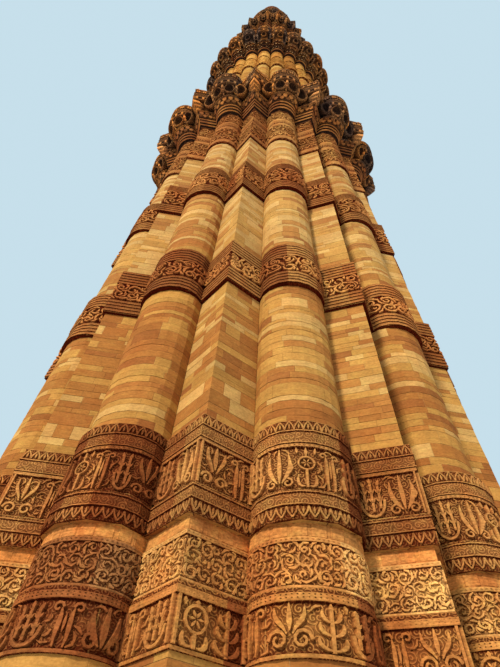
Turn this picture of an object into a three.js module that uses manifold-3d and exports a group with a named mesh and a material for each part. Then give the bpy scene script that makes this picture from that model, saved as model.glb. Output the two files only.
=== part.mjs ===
// A five-storey fluted minaret of banded sandstone, built as a scale model at 1:2.
// The model is in millimetres, +Z is up, and the origin is the centre of the foot on the ground.
// The front faces -Y with one angular flute on the middle line; the entrance is at the back, +Y.
import * as THREE from 'three';
import { mergeVertices } from 'three/addons/utils/BufferGeometryUtils.js';
import Module from 'manifold-3d';

const wasm = await Module();
wasm.setup();

// Every size below is the real tower's, in metres; METRE turns it into model millimetres.
const SCALE = 0.5;
const METRE = 1000 * SCALE;

// The flutes: 24 to a turn, round and angular by turns on the first storey
const FLUTE_COUNT = 24;
const FLUTE_PITCH = (2 * Math.PI) / FLUTE_COUNT;
const ROUND_FLUTE_EXTRA = THREE.MathUtils.degToRad(0.36);
const ROUND_RISE = 0.86;
const WEDGE_RISE = 0.96;
const FIRST_STOREY_ARC_STEPS = 5;
const SECOND_STOREY_ARC_STEPS = 3;
const DRUM_SIDES = 32;
const WELL_SIDES = 16;

// The foot
const PLINTH_RADIUS = 7.5;
const PLINTH_HEIGHT = 0.6;

// Storeys: the outer radius reaches the arrises and the crests of the flutes
const STOREYS = [
  { foot: 0, head: 28.6, footRadius: 7.16, headRadius: 4.76, footWell: 3.5, headWell: 2.35 },
  { foot: 28.93, head: 44.1, footRadius: 4.43, headRadius: 3.49, footWell: 2.1, headWell: 1.75 },
  { foot: 44.39, head: 56.57, footRadius: 3.3, headRadius: 2.7, footWell: 1.7, headWell: 1.45 },
  { foot: 56.82, head: 64.3, footRadius: 2.2, headRadius: 1.86, footWell: 1.3, headWell: 1.15 },
  { foot: 64.54, head: 71.0, footRadius: 1.5, headRadius: 1.26, footWell: 0.95, headWell: 0.8 },
];

// Carved bands: heights, and how far each stands out from the plain masonry
const BAND_1 = { from: 4.21, to: 4.97, proud: 0.03 };
const BAND_2 = { from: 4.97, to: 5.64, proud: 0.02 };
const UPRIGHT_COURSE = { from: 5.64, to: 5.86, proud: 0 };
const BAND_3 = { from: 5.86, to: 7.64, proud: 0.11, border: 0.5, fieldProud: 0.08 };
const BAND_4 = { from: 11.91, to: 13.76, proud: 0.08 };
const BAND_5 = { from: 17.64, to: 19.74, proud: 0.08 };
const BAND_6 = { from: 22.72, to: 26.6, proud: 0.06 };
const SECOND_STOREY_LOW_BAND = { from: 33.2, to: 34.7, proud: 0.06 };
const SECOND_STOREY_HIGH_BAND = { from: 38.4, to: 42.3, proud: 0.04 };
const THIRD_STOREY_BAND = { from: 53.0, to: 55.2, proud: 0.04 };

// Balconies: ribs round the shaft, corbels, a floor and a parapet
const RIB_HEIGHT = 0.23;
const RIB_STEP = 0.08;
const BALCONIES = [
  { from: 26.6, ribs: 3, ribRadius: 5.06, edgeRadius: 5.97, floor: 28.93, parapet: 0.62 },
  { from: 42.3, ribs: 3, ribRadius: 3.74, edgeRadius: 4.65, floor: 44.39, parapet: 0.62 },
  { from: 55.2, ribs: 1, ribRadius: 2.86, edgeRadius: 3.42, floor: 56.82, parapet: 0.6 },
  { from: 63.4, ribs: 1, ribRadius: 1.97, edgeRadius: 2.26, floor: 64.54, parapet: 0.6 },
];
const PARAPET_THICKNESS = 0.24;

// The corbels' outline, as shares of their height and of their reach: a leaf course, the niches,
// and a course of dentils under the floor
const CORBEL_OUTLINE = [
  [0, 0.08],
  [0.28, 0.32],
  [0.28, 0.42],
  [0.5, 0.74],
  [0.72, 0.9],
  [0.72, 0.95],
  [1, 1],
];

// Doorways, all at the back
const ENTRANCE = { width: 1.3, height: 2.4 };
const BALCONY_DOORS = [
  { width: 0.85, height: 1.9 },
  { width: 0.8, height: 1.9 },
  { width: 0.75, height: 1.85 },
  { width: 0.7, height: 1.8 },
];

// How far a cutting box runs past the course that it cuts
const OVERCUT = 1;

// The head of the tower
const CORNICE = { from: 71.0, to: 71.35, radius: 1.4 };
const CAP = { to: 72.5, drumRadius: 1.05, shoulder: 71.95, crownRadius: 0.55 };

const SANDSTONE = { color: '#c98a4e', roughness: 0.85 };
const CARVED_STONE = { color: '#9c5f36', roughness: 0.9 };
const DARK_STONE = { color: '#6f3f27', roughness: 0.9 };

// Plans of the tower: each gives the points of one turn for an outer radius, in metres

function turnedPoint(radius, angle) {
  return new THREE.Vector2(radius * Math.sin(angle), -radius * Math.cos(angle));
}

function arcPoints(middleAngle, halfAngle, grooveRadius, steps) {
  const halfChord = grooveRadius * Math.sin(halfAngle);
  const chordDistance = grooveRadius * Math.cos(halfAngle);
  const points = [];
  for (let step = 0; step < steps; step += 1) {
    const sweep = Math.PI * (step / steps);
    const along = -halfChord * Math.cos(sweep);
    const out = chordDistance + ROUND_RISE * halfChord * Math.sin(sweep);
    points.push(turnedPoint(out, middleAngle).add(turnedPoint(along, middleAngle + Math.PI / 2)));
  }
  return points;
}

function wedgePoints(middleAngle, halfAngle, grooveRadius, arrisRadius) {
  return [turnedPoint(grooveRadius, middleAngle - halfAngle), turnedPoint(arrisRadius, middleAngle)];
}

// Round and angular flutes by turns, an angular one on the front middle line
function starPlan(radius) {
  const roundHalf = FLUTE_PITCH / 2 + ROUND_FLUTE_EXTRA;
  const wedgeHalf = FLUTE_PITCH / 2 - ROUND_FLUTE_EXTRA;
  const grooveRadius = radius / (Math.cos(wedgeHalf) + WEDGE_RISE * Math.sin(wedgeHalf));
  const points = [];
  for (let flute = 0; flute < FLUTE_COUNT; flute += 1) {
    const middle = flute * FLUTE_PITCH;
    if (flute % 2 === 0) {
      points.push(...wedgePoints(middle, wedgeHalf, grooveRadius, radius));
    } else {
      points.push(...arcPoints(middle, roundHalf, grooveRadius, FIRST_STOREY_ARC_STEPS));
    }
  }
  return points;
}

// Round flutes all the way round
function scallopPlan(radius) {
  const half = FLUTE_PITCH / 2;
  const grooveRadius = radius / (Math.cos(half) + ROUND_RISE * Math.sin(half));
  const points = [];
  for (let flute = 0; flute < FLUTE_COUNT; flute += 1) {
    points.push(...arcPoints(flute * FLUTE_PITCH, half, grooveRadius, SECOND_STOREY_ARC_STEPS));
  }
  return points;
}

// Angular flutes all the way round
function wedgePlan(radius) {
  const half = FLUTE_PITCH / 2;
  const grooveRadius = radius / (Math.cos(half) + WEDGE_RISE * Math.sin(half));
  const points = [];
  for (let flute = 0; flute < FLUTE_COUNT; flute += 1) {
    points.push(...wedgePoints(flute * FLUTE_PITCH, half, grooveRadius, radius));
  }
  return points;
}

function polygonPlan(sides) {
  return (radius) => {
    const points = [];
    for (let side = 0; side < sides; side += 1) {
      points.push(turnedPoint(radius, (2 * Math.PI * side) / sides));
    }
    return points;
  };
}

const drumPlan = polygonPlan(DRUM_SIDES);
const wellPlan = polygonPlan(WELL_SIDES);
const plinthPlan = polygonPlan(FLUTE_COUNT);

// A solid lofted upwards through levels of one plan, [height, radius] in metres. An inner plan,
// with its own levels at the foot and the head, opens a hollow through it.
function loftedGeometry(plan, levels, innerPlan, innerLevels) {
  const positions = [];
  const triangles = [];
  const addRing = (points, height) => {
    const start = positions.length / 3;
    for (const point of points) {
      positions.push(point.x * METRE, point.y * METRE, height * METRE);
    }
    return { start, count: points.length, points };
  };
  const joinRings = (low, high, outwards) => {
    for (let i = 0; i < low.count; i += 1) {
      const next = (i + 1) % low.count;
      const quad = [low.start + i, low.start + next, high.start + next, high.start + i];
      if (!outwards) {
        quad.reverse();
      }
      triangles.push(quad[0], quad[1], quad[2], quad[0], quad[2], quad[3]);
    }
  };
  const addCap = (outer, inner, facesUp) => {
    const holes = inner ? [inner.points] : [];
    const index = (corner) => {
      if (corner < outer.count) {
        return outer.start + corner;
      }
      return inner.start + corner - outer.count;
    };
    const faces = THREE.ShapeUtils.triangulateShape([...outer.points], holes.map((hole) => [...hole]));
    for (const face of faces) {
      const corners = face.map(index);
      triangles.push(...(facesUp ? corners : corners.reverse()));
    }
  };
  const outerRings = levels.map(([height, radius]) => addRing(plan(radius), height));
  for (let level = 1; level < outerRings.length; level += 1) {
    joinRings(outerRings[level - 1], outerRings[level], true);
  }
  let innerRings = [null, null];
  if (innerPlan) {
    innerRings = innerLevels.map(([height, radius]) => addRing(innerPlan(radius), height));
    joinRings(innerRings[0], innerRings[1], false);
  }
  addCap(outerRings[0], innerRings[0], false);
  addCap(outerRings[outerRings.length - 1], innerRings[1], true);
  const geometry = new THREE.BufferGeometry();
  geometry.setAttribute('position', new THREE.Float32BufferAttribute(positions, 3));
  geometry.setIndex(triangles);
  return geometry;
}

function toManifold(geometry) {
  const bare = geometry.clone();
  bare.deleteAttribute('normal');
  bare.deleteAttribute('uv');
  const merged = mergeVertices(bare);
  const vertProperties = new Float32Array(merged.attributes.position.array);
  const triVerts = new Uint32Array(merged.index.array);
  return new wasm.Manifold(new wasm.Mesh({ numProp: 3, vertProperties, triVerts }));
}

function fromManifold(solid) {
  const mesh = solid.getMesh();
  const geometry = new THREE.BufferGeometry();
  geometry.setAttribute('position', new THREE.BufferAttribute(mesh.vertProperties, 3));
  geometry.setIndex(new THREE.BufferAttribute(mesh.triVerts, 1));
  return geometry;
}

function boxBetween(low, high) {
  const size = new THREE.Vector3().subVectors(high, low).multiplyScalar(METRE);
  const middle = new THREE.Vector3().addVectors(high, low).multiplyScalar(METRE / 2);
  const box = new THREE.BoxGeometry(size.x, size.y, size.z);
  box.translate(middle.x, middle.y, middle.z);
  return box;
}

function radiusBetween(storey, height, footKey, headKey) {
  const share = (height - storey.foot) / (storey.head - storey.foot);
  return THREE.MathUtils.lerp(storey[footKey], storey[headKey], share);
}

function outerRadius(storey, height) {
  return radiusBetween(storey, height, 'footRadius', 'headRadius');
}

function wellRadius(storey, height) {
  return radiusBetween(storey, height, 'footWell', 'headWell');
}

function wellLevels(storey, from, to) {
  return [[from, wellRadius(storey, from)], [to, wellRadius(storey, to)]];
}

const tower = new THREE.Group();
tower.name = 'minaret';

function addPiece(name, geometry, { color, roughness }) {
  const mesh = new THREE.Mesh(geometry, new THREE.MeshStandardMaterial({ color, roughness, metalness: 0 }));
  mesh.name = name;
  tower.add(mesh);
}

// A course of wall right round the tower, standing out by `proud` from the storey's own taper
function wallRing(storey, plan, { from, to, proud = 0 }) {
  const levels = [from, to].map((height) => [height, outerRadius(storey, height) + proud]);
  return loftedGeometry(plan, levels, wellPlan, wellLevels(storey, from, to));
}

// A course of wall with a doorway cut right through it at the back
function doorwayRing(storey, plan, door, from, to) {
  const gap = boxBetween(
    new THREE.Vector3(-door.width / 2, 0, from - OVERCUT),
    new THREE.Vector3(door.width / 2, storey.footRadius + OVERCUT, to + OVERCUT),
  );
  return toManifold(wallRing(storey, plan, { from, to })).subtract(toManifold(gap));
}

function addPlinth() {
  const levels = [[0, PLINTH_RADIUS], [PLINTH_HEIGHT, PLINTH_RADIUS]];
  addPiece('plinth', loftedGeometry(plinthPlan, levels), SANDSTONE);
}

// The foot of the wall is two halves that meet on the front middle line and leave the entrance open
function addEntranceWalls() {
  const storey = STOREYS[0];
  const from = PLINTH_HEIGHT;
  const to = PLINTH_HEIGHT + ENTRANCE.height;
  const ring = doorwayRing(storey, starPlan, ENTRANCE, from, to);
  const reach = PLINTH_RADIUS + OVERCUT;
  for (const [name, side] of [['entrance_wall_west', -1], ['entrance_wall_east', 1]]) {
    const low = new THREE.Vector3(Math.min(0, side * reach), -reach, from - OVERCUT);
    const high = new THREE.Vector3(Math.max(0, side * reach), reach, to + OVERCUT);
    addPiece(name, fromManifold(ring.intersect(toManifold(boxBetween(low, high)))), SANDSTONE);
  }
  addPiece('wall_over_entrance', wallRing(storey, starPlan, { from: to, to: BAND_1.from }), SANDSTONE);
}

// The main band: two stepped borders with a slightly sunk field between them
function mainBandRing(storey, plan, { from, to, proud, border, fieldProud }) {
  const at = (height, out) => [height, outerRadius(storey, height) + out];
  const levels = [
    at(from, proud),
    at(from + border, proud),
    at(from + border, fieldProud),
    at(to - border, fieldProud),
    at(to - border, proud),
    at(to, proud),
  ];
  return loftedGeometry(plan, levels, wellPlan, wellLevels(storey, from, to));
}

function addFirstStorey() {
  const storey = STOREYS[0];
  const ring = (course) => wallRing(storey, starPlan, course);
  addPiece('band_1', ring(BAND_1), CARVED_STONE);
  addPiece('band_2', ring(BAND_2), CARVED_STONE);
  addPiece('upright_course', ring(UPRIGHT_COURSE), SANDSTONE);
  addPiece('band_3', mainBandRing(storey, starPlan, BAND_3), CARVED_STONE);
  addPiece('shaft_1_lower', ring({ from: BAND_3.to, to: BAND_4.from }), SANDSTONE);
  addPiece('band_4', ring(BAND_4), CARVED_STONE);
  addPiece('shaft_1_middle', ring({ from: BAND_4.to, to: BAND_5.from }), SANDSTONE);
  addPiece('band_5', ring(BAND_5), CARVED_STONE);
  addPiece('shaft_1_upper', ring({ from: BAND_5.to, to: BAND_6.from }), SANDSTONE);
  addPiece('band_6', ring(BAND_6), CARVED_STONE);
}

function addSecondStorey() {
  const storey = STOREYS[1];
  const ring = (course) => wallRing(storey, scallopPlan, course);
  const low = SECOND_STOREY_LOW_BAND;
  const high = SECOND_STOREY_HIGH_BAND;
  const doorHead = addDoorwayWall(1, scallopPlan);
  addPiece('shaft_2_lower', ring({ from: doorHead, to: low.from }), SANDSTONE);
  addPiece('storey_2_low_band', ring(low), CARVED_STONE);
  addPiece('shaft_2_upper', ring({ from: low.to, to: high.from }), SANDSTONE);
  addPiece('storey_2_high_band', ring(high), SANDSTONE);
}

function addThirdStorey() {
  const storey = STOREYS[2];
  const band = THIRD_STOREY_BAND;
  const doorHead = addDoorwayWall(2, wedgePlan);
  addPiece('shaft_3', wallRing(storey, wedgePlan, { from: doorHead, to: band.from }), SANDSTONE);
  addPiece('storey_3_band', wallRing(storey, wedgePlan, band), CARVED_STONE);
}

// The two top storeys are plain round drums
function addDrumStorey(index, head) {
  const doorHead = addDoorwayWall(index, drumPlan);
  addPiece(`shaft_${index + 1}`, wallRing(STOREYS[index], drumPlan, { from: doorHead, to: head }), SANDSTONE);
}

function addDoorwayWall(index, plan) {
  const storey = STOREYS[index];
  const door = BALCONY_DOORS[index - 1];
  const head = storey.foot + door.height;
  const ring = doorwayRing(storey, plan, door, storey.foot, head);
  addPiece(`storey_${index + 1}_doorway_wall`, fromManifold(ring), SANDSTONE);
  return head;
}

// Ribs that follow the flutes, each standing a little further out than the one below
function ribLevels({ from, ribs, ribRadius }) {
  const levels = [];
  for (let rib = 0; rib < ribs; rib += 1) {
    const radius = ribRadius + rib * RIB_STEP;
    levels.push([from + rib * RIB_HEIGHT, radius]);
    levels.push([from + (rib + 1) * RIB_HEIGHT, radius]);
  }
  return levels;
}

// Corbels that swell from the top rib out to the edge of the floor
function corbelLevels({ from, ribs, ribRadius, edgeRadius }, underFloor) {
  const foot = from + ribs * RIB_HEIGHT;
  const startRadius = ribRadius + (ribs - 1) * RIB_STEP;
  return CORBEL_OUTLINE.map(([rise, reach]) => [
    THREE.MathUtils.lerp(foot, underFloor, rise),
    THREE.MathUtils.lerp(startRadius, edgeRadius, reach),
  ]);
}

function addBalcony(index, plan) {
  const balcony = BALCONIES[index];
  const storey = STOREYS[index];
  const name = `balcony_${index + 1}`;
  const ribTop = balcony.from + balcony.ribs * RIB_HEIGHT;
  const ribWell = wellLevels(storey, balcony.from, ribTop);
  const corbelWell = wellLevels(storey, ribTop, storey.head);
  addPiece(`${name}_ribs`, loftedGeometry(plan, ribLevels(balcony), wellPlan, ribWell), DARK_STONE);
  const corbels = loftedGeometry(plan, corbelLevels(balcony, storey.head), wellPlan, corbelWell);
  addPiece(`${name}_corbels`, corbels, DARK_STONE);
  const floorLevels = [[storey.head, balcony.edgeRadius], [balcony.floor, balcony.edgeRadius]];
  addPiece(`${name}_floor`, loftedGeometry(plan, floorLevels), DARK_STONE);
  const parapetTop = balcony.floor + balcony.parapet;
  const outside = [[balcony.floor, balcony.edgeRadius], [parapetTop, balcony.edgeRadius]];
  const inside = outside.map(([height, radius]) => [height, radius - PARAPET_THICKNESS]);
  addPiece(`${name}_parapet`, loftedGeometry(plan, outside, plan, inside), DARK_STONE);
}

function addHead() {
  const { from, to, radius } = CORNICE;
  const well = wellLevels(STOREYS[4], STOREYS[4].head, CORNICE.to);
  const footRadius = outerRadius(STOREYS[4], from);
  const cornice = loftedGeometry(drumPlan, [[from, footRadius], [to, radius]], wellPlan, well);
  addPiece('top_cornice', cornice, DARK_STONE);
  const capLevels = [
    [to, radius],
    [to + RIB_HEIGHT, radius],
    [to + RIB_HEIGHT, CAP.drumRadius],
    [CAP.shoulder, CAP.drumRadius],
    [CAP.to, CAP.crownRadius],
  ];
  addPiece('top_cap', loftedGeometry(drumPlan, capLevels), SANDSTONE);
}

addPlinth();
addEntranceWalls();
addFirstStorey();
addBalcony(0, starPlan);
addSecondStorey();
addBalcony(1, scallopPlan);
addThirdStorey();
addBalcony(2, wedgePlan);
addDrumStorey(3, BALCONIES[3].from);
addBalcony(3, drumPlan);
addDrumStorey(4, CORNICE.from);
addHead();

export default tower;
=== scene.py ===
"""The looks of a fluted sandstone minaret, a scale model at 1:2, in metres with +Z up.

Heights and radii are written in the real tower's metres and turned into the model's by METRE.
Flutes are numbered round the tower from 0 in front, on -Y, through +X.
"""
import math

import bpy
import numpy as np
from mathutils import Matrix, Vector


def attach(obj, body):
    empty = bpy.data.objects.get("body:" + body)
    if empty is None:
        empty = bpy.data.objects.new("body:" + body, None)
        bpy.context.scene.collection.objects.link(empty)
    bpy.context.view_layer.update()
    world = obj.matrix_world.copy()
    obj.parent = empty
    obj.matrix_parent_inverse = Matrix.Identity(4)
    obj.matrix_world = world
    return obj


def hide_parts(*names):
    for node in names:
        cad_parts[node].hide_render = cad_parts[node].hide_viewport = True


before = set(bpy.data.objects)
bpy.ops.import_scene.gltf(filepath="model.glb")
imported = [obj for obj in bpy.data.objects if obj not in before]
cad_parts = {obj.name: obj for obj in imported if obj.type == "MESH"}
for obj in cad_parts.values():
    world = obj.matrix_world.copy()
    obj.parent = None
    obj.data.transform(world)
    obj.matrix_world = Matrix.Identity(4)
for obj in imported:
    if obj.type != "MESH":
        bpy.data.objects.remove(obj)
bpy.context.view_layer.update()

# One metre of the real tower, in the model's metres
METRE = 0.5

# Plan of the flutes
FLUTES = 24
PITCH = 2 * math.pi / FLUTES
ROUND_EXTRA = math.radians(0.36)
ROUND_RISE = 0.86
WEDGE_RISE = 0.96
ARC_STEPS = {"star": 10, "scallop": 6, "wedge": 2, "drum": 2}

# Each storey: plan, height and outer radius at its foot and head, and the radius of the well inside
STOREYS = {
    1: dict(style="star", low=0.0, high=28.6, foot=7.16, head=4.76, well=(3.5, 2.35)),
    2: dict(style="scallop", low=28.93, high=44.1, foot=4.43, head=3.49, well=(2.1, 1.75)),
    3: dict(style="wedge", low=44.39, high=56.57, foot=3.3, head=2.7, well=(1.7, 1.45)),
    4: dict(style="drum", low=56.82, high=64.3, foot=2.2, head=1.86, well=(1.3, 1.15)),
    5: dict(style="drum", low=64.54, high=71.0, foot=1.5, head=1.26, well=(0.95, 0.8)),
}
# Each storey's doorway at the back: half its width and the height of its head
DOORS = {1: (0.65, 3.0), 2: (0.425, 30.83), 3: (0.4, 46.29), 4: (0.375, 58.67), 5: (0.35, 66.34)}

# Colours of the stone
CREAM = (0.585, 0.415, 0.188)
STRAW = (0.48, 0.29, 0.096)
TAN = (0.375, 0.168, 0.054)
OCHRE = (0.315, 0.124, 0.041)
TERRACOTTA = (0.27, 0.095, 0.036)
RED_BROWN = (0.22, 0.076, 0.028)
UMBER = (0.11, 0.048, 0.026)


# Nodes and objects

def add_node(tree, kind, inputs=None, **settings):
    """A new node's outputs; each of its inputs takes a constant or another node's output."""
    node = tree.nodes.new(kind)
    for key, value in settings.items():
        setattr(node, key, value)
    for key, value in (inputs or {}).items():
        if isinstance(value, bpy.types.NodeSocket):
            tree.links.new(value, node.inputs[key])
        else:
            node.inputs[key].default_value = value
    return node.outputs


def opaque(colour):
    """A plain colour with its alpha; another node's output stays as it is."""
    return (*colour, 1) if isinstance(colour, tuple) else colour


def add_object(name, data):
    """A new object in the scene."""
    thing = bpy.data.objects.new(name, data)
    bpy.context.scene.collection.objects.link(thing)
    return thing


# Camera and light

CAMERA_DISTANCE = 13.18
CAMERA_HEIGHT = 2.29
CAMERA_ROUND = math.radians(6.384)
CAMERA_YAW = math.radians(-0.821)
CAMERA_PITCH = math.radians(48.116)
CAMERA_ROLL = math.radians(3.636)
FOCAL_PIXELS = 520.7
IMAGE_HEIGHT = 667
SENSOR = 36.0
SUN_AZIMUTH = math.radians(-27)
SUN_ELEVATION = math.radians(34)
SUN_COLOUR = (1.0, 0.82, 0.58)
SUN_STRENGTH = 3.6
SKY_SEEN = (0.57, 0.74, 0.83)
SKY_LIGHT = (0.82, 0.78, 0.70)
SKY_STRENGTH = 0.75
FLOOR_REACH = 60.0


def make_camera():
    """A camera close to the foot that looks steeply up the tower."""
    data = bpy.data.cameras.new("camera")
    data.sensor_width = SENSOR
    data.lens = FOCAL_PIXELS / IMAGE_HEIGHT * SENSOR
    data.clip_start = 0.05
    data.clip_end = 500
    place = Vector((
        CAMERA_DISTANCE * math.sin(CAMERA_ROUND),
        -CAMERA_DISTANCE * math.cos(CAMERA_ROUND),
        CAMERA_HEIGHT,
    )) * METRE
    heading = math.atan2(-place.x, -place.y) + CAMERA_YAW
    flat = math.cos(CAMERA_PITCH)
    forward = Vector((math.sin(heading) * flat, math.cos(heading) * flat, math.sin(CAMERA_PITCH)))
    right = Vector((math.cos(heading), -math.sin(heading), 0))
    up = right.cross(forward)
    rolled_right = right * math.cos(CAMERA_ROLL) + up * math.sin(CAMERA_ROLL)
    rolled_up = up * math.cos(CAMERA_ROLL) - right * math.sin(CAMERA_ROLL)
    matrix = Matrix((rolled_right, rolled_up, -forward)).transposed().to_4x4()
    matrix.translation = place
    camera = add_object("camera", data)
    camera.matrix_world = matrix
    bpy.context.scene.camera = camera


def make_light():
    """A warm, soft sun from the front left, and a dome that looks pale blue and lights more warmly."""
    sun = bpy.data.lights.new("sun", "SUN")
    sun.energy = SUN_STRENGTH
    sun.angle = math.radians(9)
    sun.color = SUN_COLOUR
    lamp = add_object("sun", sun)
    level = math.cos(SUN_ELEVATION)
    towards = (math.sin(SUN_AZIMUTH) * level, -math.cos(SUN_AZIMUTH) * level, math.sin(SUN_ELEVATION))
    lamp.rotation_mode = "QUATERNION"
    lamp.rotation_quaternion = Vector(towards).to_track_quat("Z", "Y")
    world = bpy.data.worlds.new("pale_dome")
    world.use_nodes = True
    tree = world.node_tree
    seen = tree.nodes["Background"]
    seen.inputs["Color"].default_value = opaque(SKY_SEEN)
    seen.inputs["Strength"].default_value = 1.0
    light = add_node(tree, "ShaderNodeBackground", {"Color": opaque(SKY_LIGHT), "Strength": SKY_STRENGTH})
    from_camera = add_node(tree, "ShaderNodeLightPath")["Is Camera Ray"]
    either = add_node(tree, "ShaderNodeMixShader", {0: from_camera, 1: light[0], 2: seen.outputs[0]})
    tree.links.new(either[0], tree.nodes["World Output"].inputs["Surface"])
    bpy.context.scene.world = world
    bpy.context.scene.view_settings.view_transform = "Standard"


def make_floor():
    """A plain pale floor that carries the plinth."""
    mesh = bpy.data.meshes.new("floor")
    corners = [(x * FLOOR_REACH, y * FLOOR_REACH, 0) for x, y in ((-1, -1), (1, -1), (1, 1), (-1, 1))]
    mesh.from_pydata(corners, [], [(0, 1, 2, 3)])
    floor = add_object("floor", mesh)
    mesh.materials.append(floor_paint())


# Plans: where a share of the way across a flute lies

def flute_form(style, flute):
    """The kind of a flute, half the angle that it takes, and the groove's share of the outer radius."""
    kind, half, rise = {
        "star": ("round", PITCH / 2 + ROUND_EXTRA, WEDGE_RISE),
        "scallop": ("round", PITCH / 2, ROUND_RISE),
        "wedge": ("wedge", PITCH / 2, WEDGE_RISE),
        "drum": ("drum", PITCH / 2, 0.0),
    }[style]
    if kind == "drum":
        return kind, half, 1.0
    # The grooves of a star lie where its angular flutes' faces end
    groove_angle = PITCH / 2 - ROUND_EXTRA if style == "star" else half
    if style == "star" and flute % 2 == 0:
        kind, half = "wedge", groove_angle
    return kind, half, 1 / (math.cos(groove_angle) + rise * math.sin(groove_angle))


def plan_frame(style, flute, share, radius):
    """Points on the plan, and the outward normals there, for shares from 0 to 1 across a flute."""
    kind, half, groove_share = flute_form(style, flute)
    share, radius = np.broadcast_arrays(np.asarray(share, float), np.asarray(radius, float))
    middle = flute * PITCH
    out_axis = np.array([math.sin(middle), -math.cos(middle)])
    run_axis = np.array([math.cos(middle), math.sin(middle)])
    chord = radius * groove_share * math.sin(half)
    base = radius * groove_share * math.cos(half)
    if kind == "drum":
        angle = (share - 0.5) * 2 * half
        normal_out, normal_run = np.cos(angle), np.sin(angle)
        out, run = radius * normal_out, radius * normal_run
    elif kind == "round":
        sweep = math.pi * share
        out = base + ROUND_RISE * chord * np.sin(sweep)
        run = -chord * np.cos(sweep)
        normal_out, normal_run = np.sin(sweep), -ROUND_RISE * np.cos(sweep)
    else:
        side = np.where(share < 0.5, -1.0, 1.0)
        inward = np.abs(share - 0.5) * 2
        out = radius + (base - radius) * inward
        run = side * chord * inward
        normal_out, normal_run = chord, side * (radius - base)
    length = np.hypot(normal_out, normal_run)
    points = out[..., None] * out_axis + run[..., None] * run_axis
    normals = (normal_out / length)[..., None] * out_axis + (normal_run / length)[..., None] * run_axis
    return points, normals


def flute_width(style, flute, radius, low=0.0, high=1.0):
    """Length along the plan between two shares of a flute."""
    points, _ = plan_frame(style, flute, np.linspace(low, high, 33), radius)
    return float(np.linalg.norm(np.diff(points, axis=0), axis=1).sum())


def tapered(form, foot, head, height):
    """A size that changes evenly from a storey's foot to its head, at a height in real metres."""
    share = (np.asarray(height, float) - form["low"]) / (form["high"] - form["low"])
    return foot + (head - foot) * share


def storey_radius(storey, height):
    """Outer radius of a storey's plain wall at a height, both in real metres."""
    form = STOREYS[storey]
    return tapered(form, form["foot"], form["head"], height)


def across(style, flute, steps=None):
    """Shares across a flute that draw its outline."""
    if flute_form(style, flute)[0] == "wedge":
        return np.array([0.0, 0.5, 1.0])
    return np.linspace(0, 1, (steps or ARC_STEPS[style]) + 1)


# Meshes from collected points and faces

def grid_quads(grid):
    """What a grid holds at the four corners of each of its faces."""
    return np.stack([grid[:-1, :-1], grid[:-1, 1:], grid[1:, 1:], grid[1:, :-1]], axis=-1)


def raised(flat, heights):
    """Points in the model's metres, from rows of points on the plan and the height of each row."""
    return np.dstack([flat, np.broadcast_to(heights[:, None], flat.shape[:2])]) * METRE


def polar(centre, radius, angle):
    """Points at a radius and an angle from a centre."""
    return centre + np.stack([np.cos(angle), np.sin(angle)], axis=-1) * np.asarray(radius)[..., None]


def rings(centre, outline, sides, start=0.0):
    """Rows of points round an upright axis; the outline gives each ring's radius and height."""
    turn = start + np.linspace(0, 2 * math.pi, sides + 1)[:-1]
    radii, heights = (np.array(column, float) for column in zip(*outline))
    return raised(polar(centre, radii[:, None], turn), heights)


def joined(parts):
    """The arrays of every part as rows, with those of a kind end to end."""
    return [np.concatenate([array.reshape(-1, array.shape[-1]) for array in kind]) for kind in zip(*parts)]


def with_alpha(colours):
    return np.column_stack([colours, np.ones(len(colours))])


def set_attribute(mesh, name, kind, domain, values):
    """Keeps a colour or a vector for each point or corner of a mesh."""
    field = "color" if kind == "FLOAT_COLOR" else "vector"
    mesh.attributes.new(name, kind, domain).data.foreach_set(field, np.asarray(values, float).ravel())


def mesh_from_quads(name, points, quads, material):
    """A flat-shaded mesh of the given points and four-cornered faces."""
    mesh = bpy.data.meshes.new(name)
    mesh.vertices.add(len(points))
    mesh.vertices.foreach_set("co", points.ravel())
    mesh.loops.add(quads.size)
    mesh.loops.foreach_set("vertex_index", quads.ravel())
    mesh.polygons.add(len(quads))
    mesh.polygons.foreach_set("loop_start", np.arange(0, quads.size, 4))
    mesh.update(calc_edges=True)
    mesh.materials.append(material)
    mesh.polygons.foreach_set("use_smooth", [False] * len(mesh.polygons))
    return mesh


def finish_piece(name, mesh):
    """The finished piece, riding on the tower."""
    piece = add_object(name, mesh)
    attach(piece, "root")
    return piece


class Stonework:
    """Collects quads, each point with a tint that holds its painted shade, its level of painted shade, and a
    place on the chart, for one mesh.
    """

    def __init__(self):
        self.parts = []
        self.count = 0

    def add(self, points, quads, tint, level, chart=None):
        """Points in the model's metres; the chart says how far along and up the wall each lies."""
        points = np.asarray(points, float).reshape(-1, 3)
        chart = np.zeros((len(points), 2)) if chart is None else np.asarray(chart, float).reshape(-1, 2)
        quads = np.asarray(quads, int).reshape(-1, 4) + self.count
        self.parts.append((points, quads, np.column_stack([tint, level]), chart))
        self.count += len(points)

    def grid(self, rows, tint, level, closed=False, flip=False, chart=None):
        """A grid of points as quads; closed joins its last column to its first."""
        down, over = np.shape(rows)[:2]
        index = np.arange(down * over).reshape(down, over)
        quads = grid_quads(np.hstack([index, index[:, :1]]) if closed else index).reshape(-1, 4)
        levels = np.broadcast_to(level, (down, over)).ravel()
        self.add(rows, quads[:, ::-1] if flip else quads, np.asarray(tint).reshape(-1, 3), levels, chart)

    def build(self, name, material, slot):
        points, quads, tints, charts = joined(self.parts)
        mesh = mesh_from_quads(name, points, quads, material)
        set_attribute(mesh, "tint", "FLOAT_COLOR", "POINT", tints)
        set_attribute(mesh, "chart", "FLOAT2", "POINT", charts)
        return finish_piece(name, mesh)


# Materials

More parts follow.
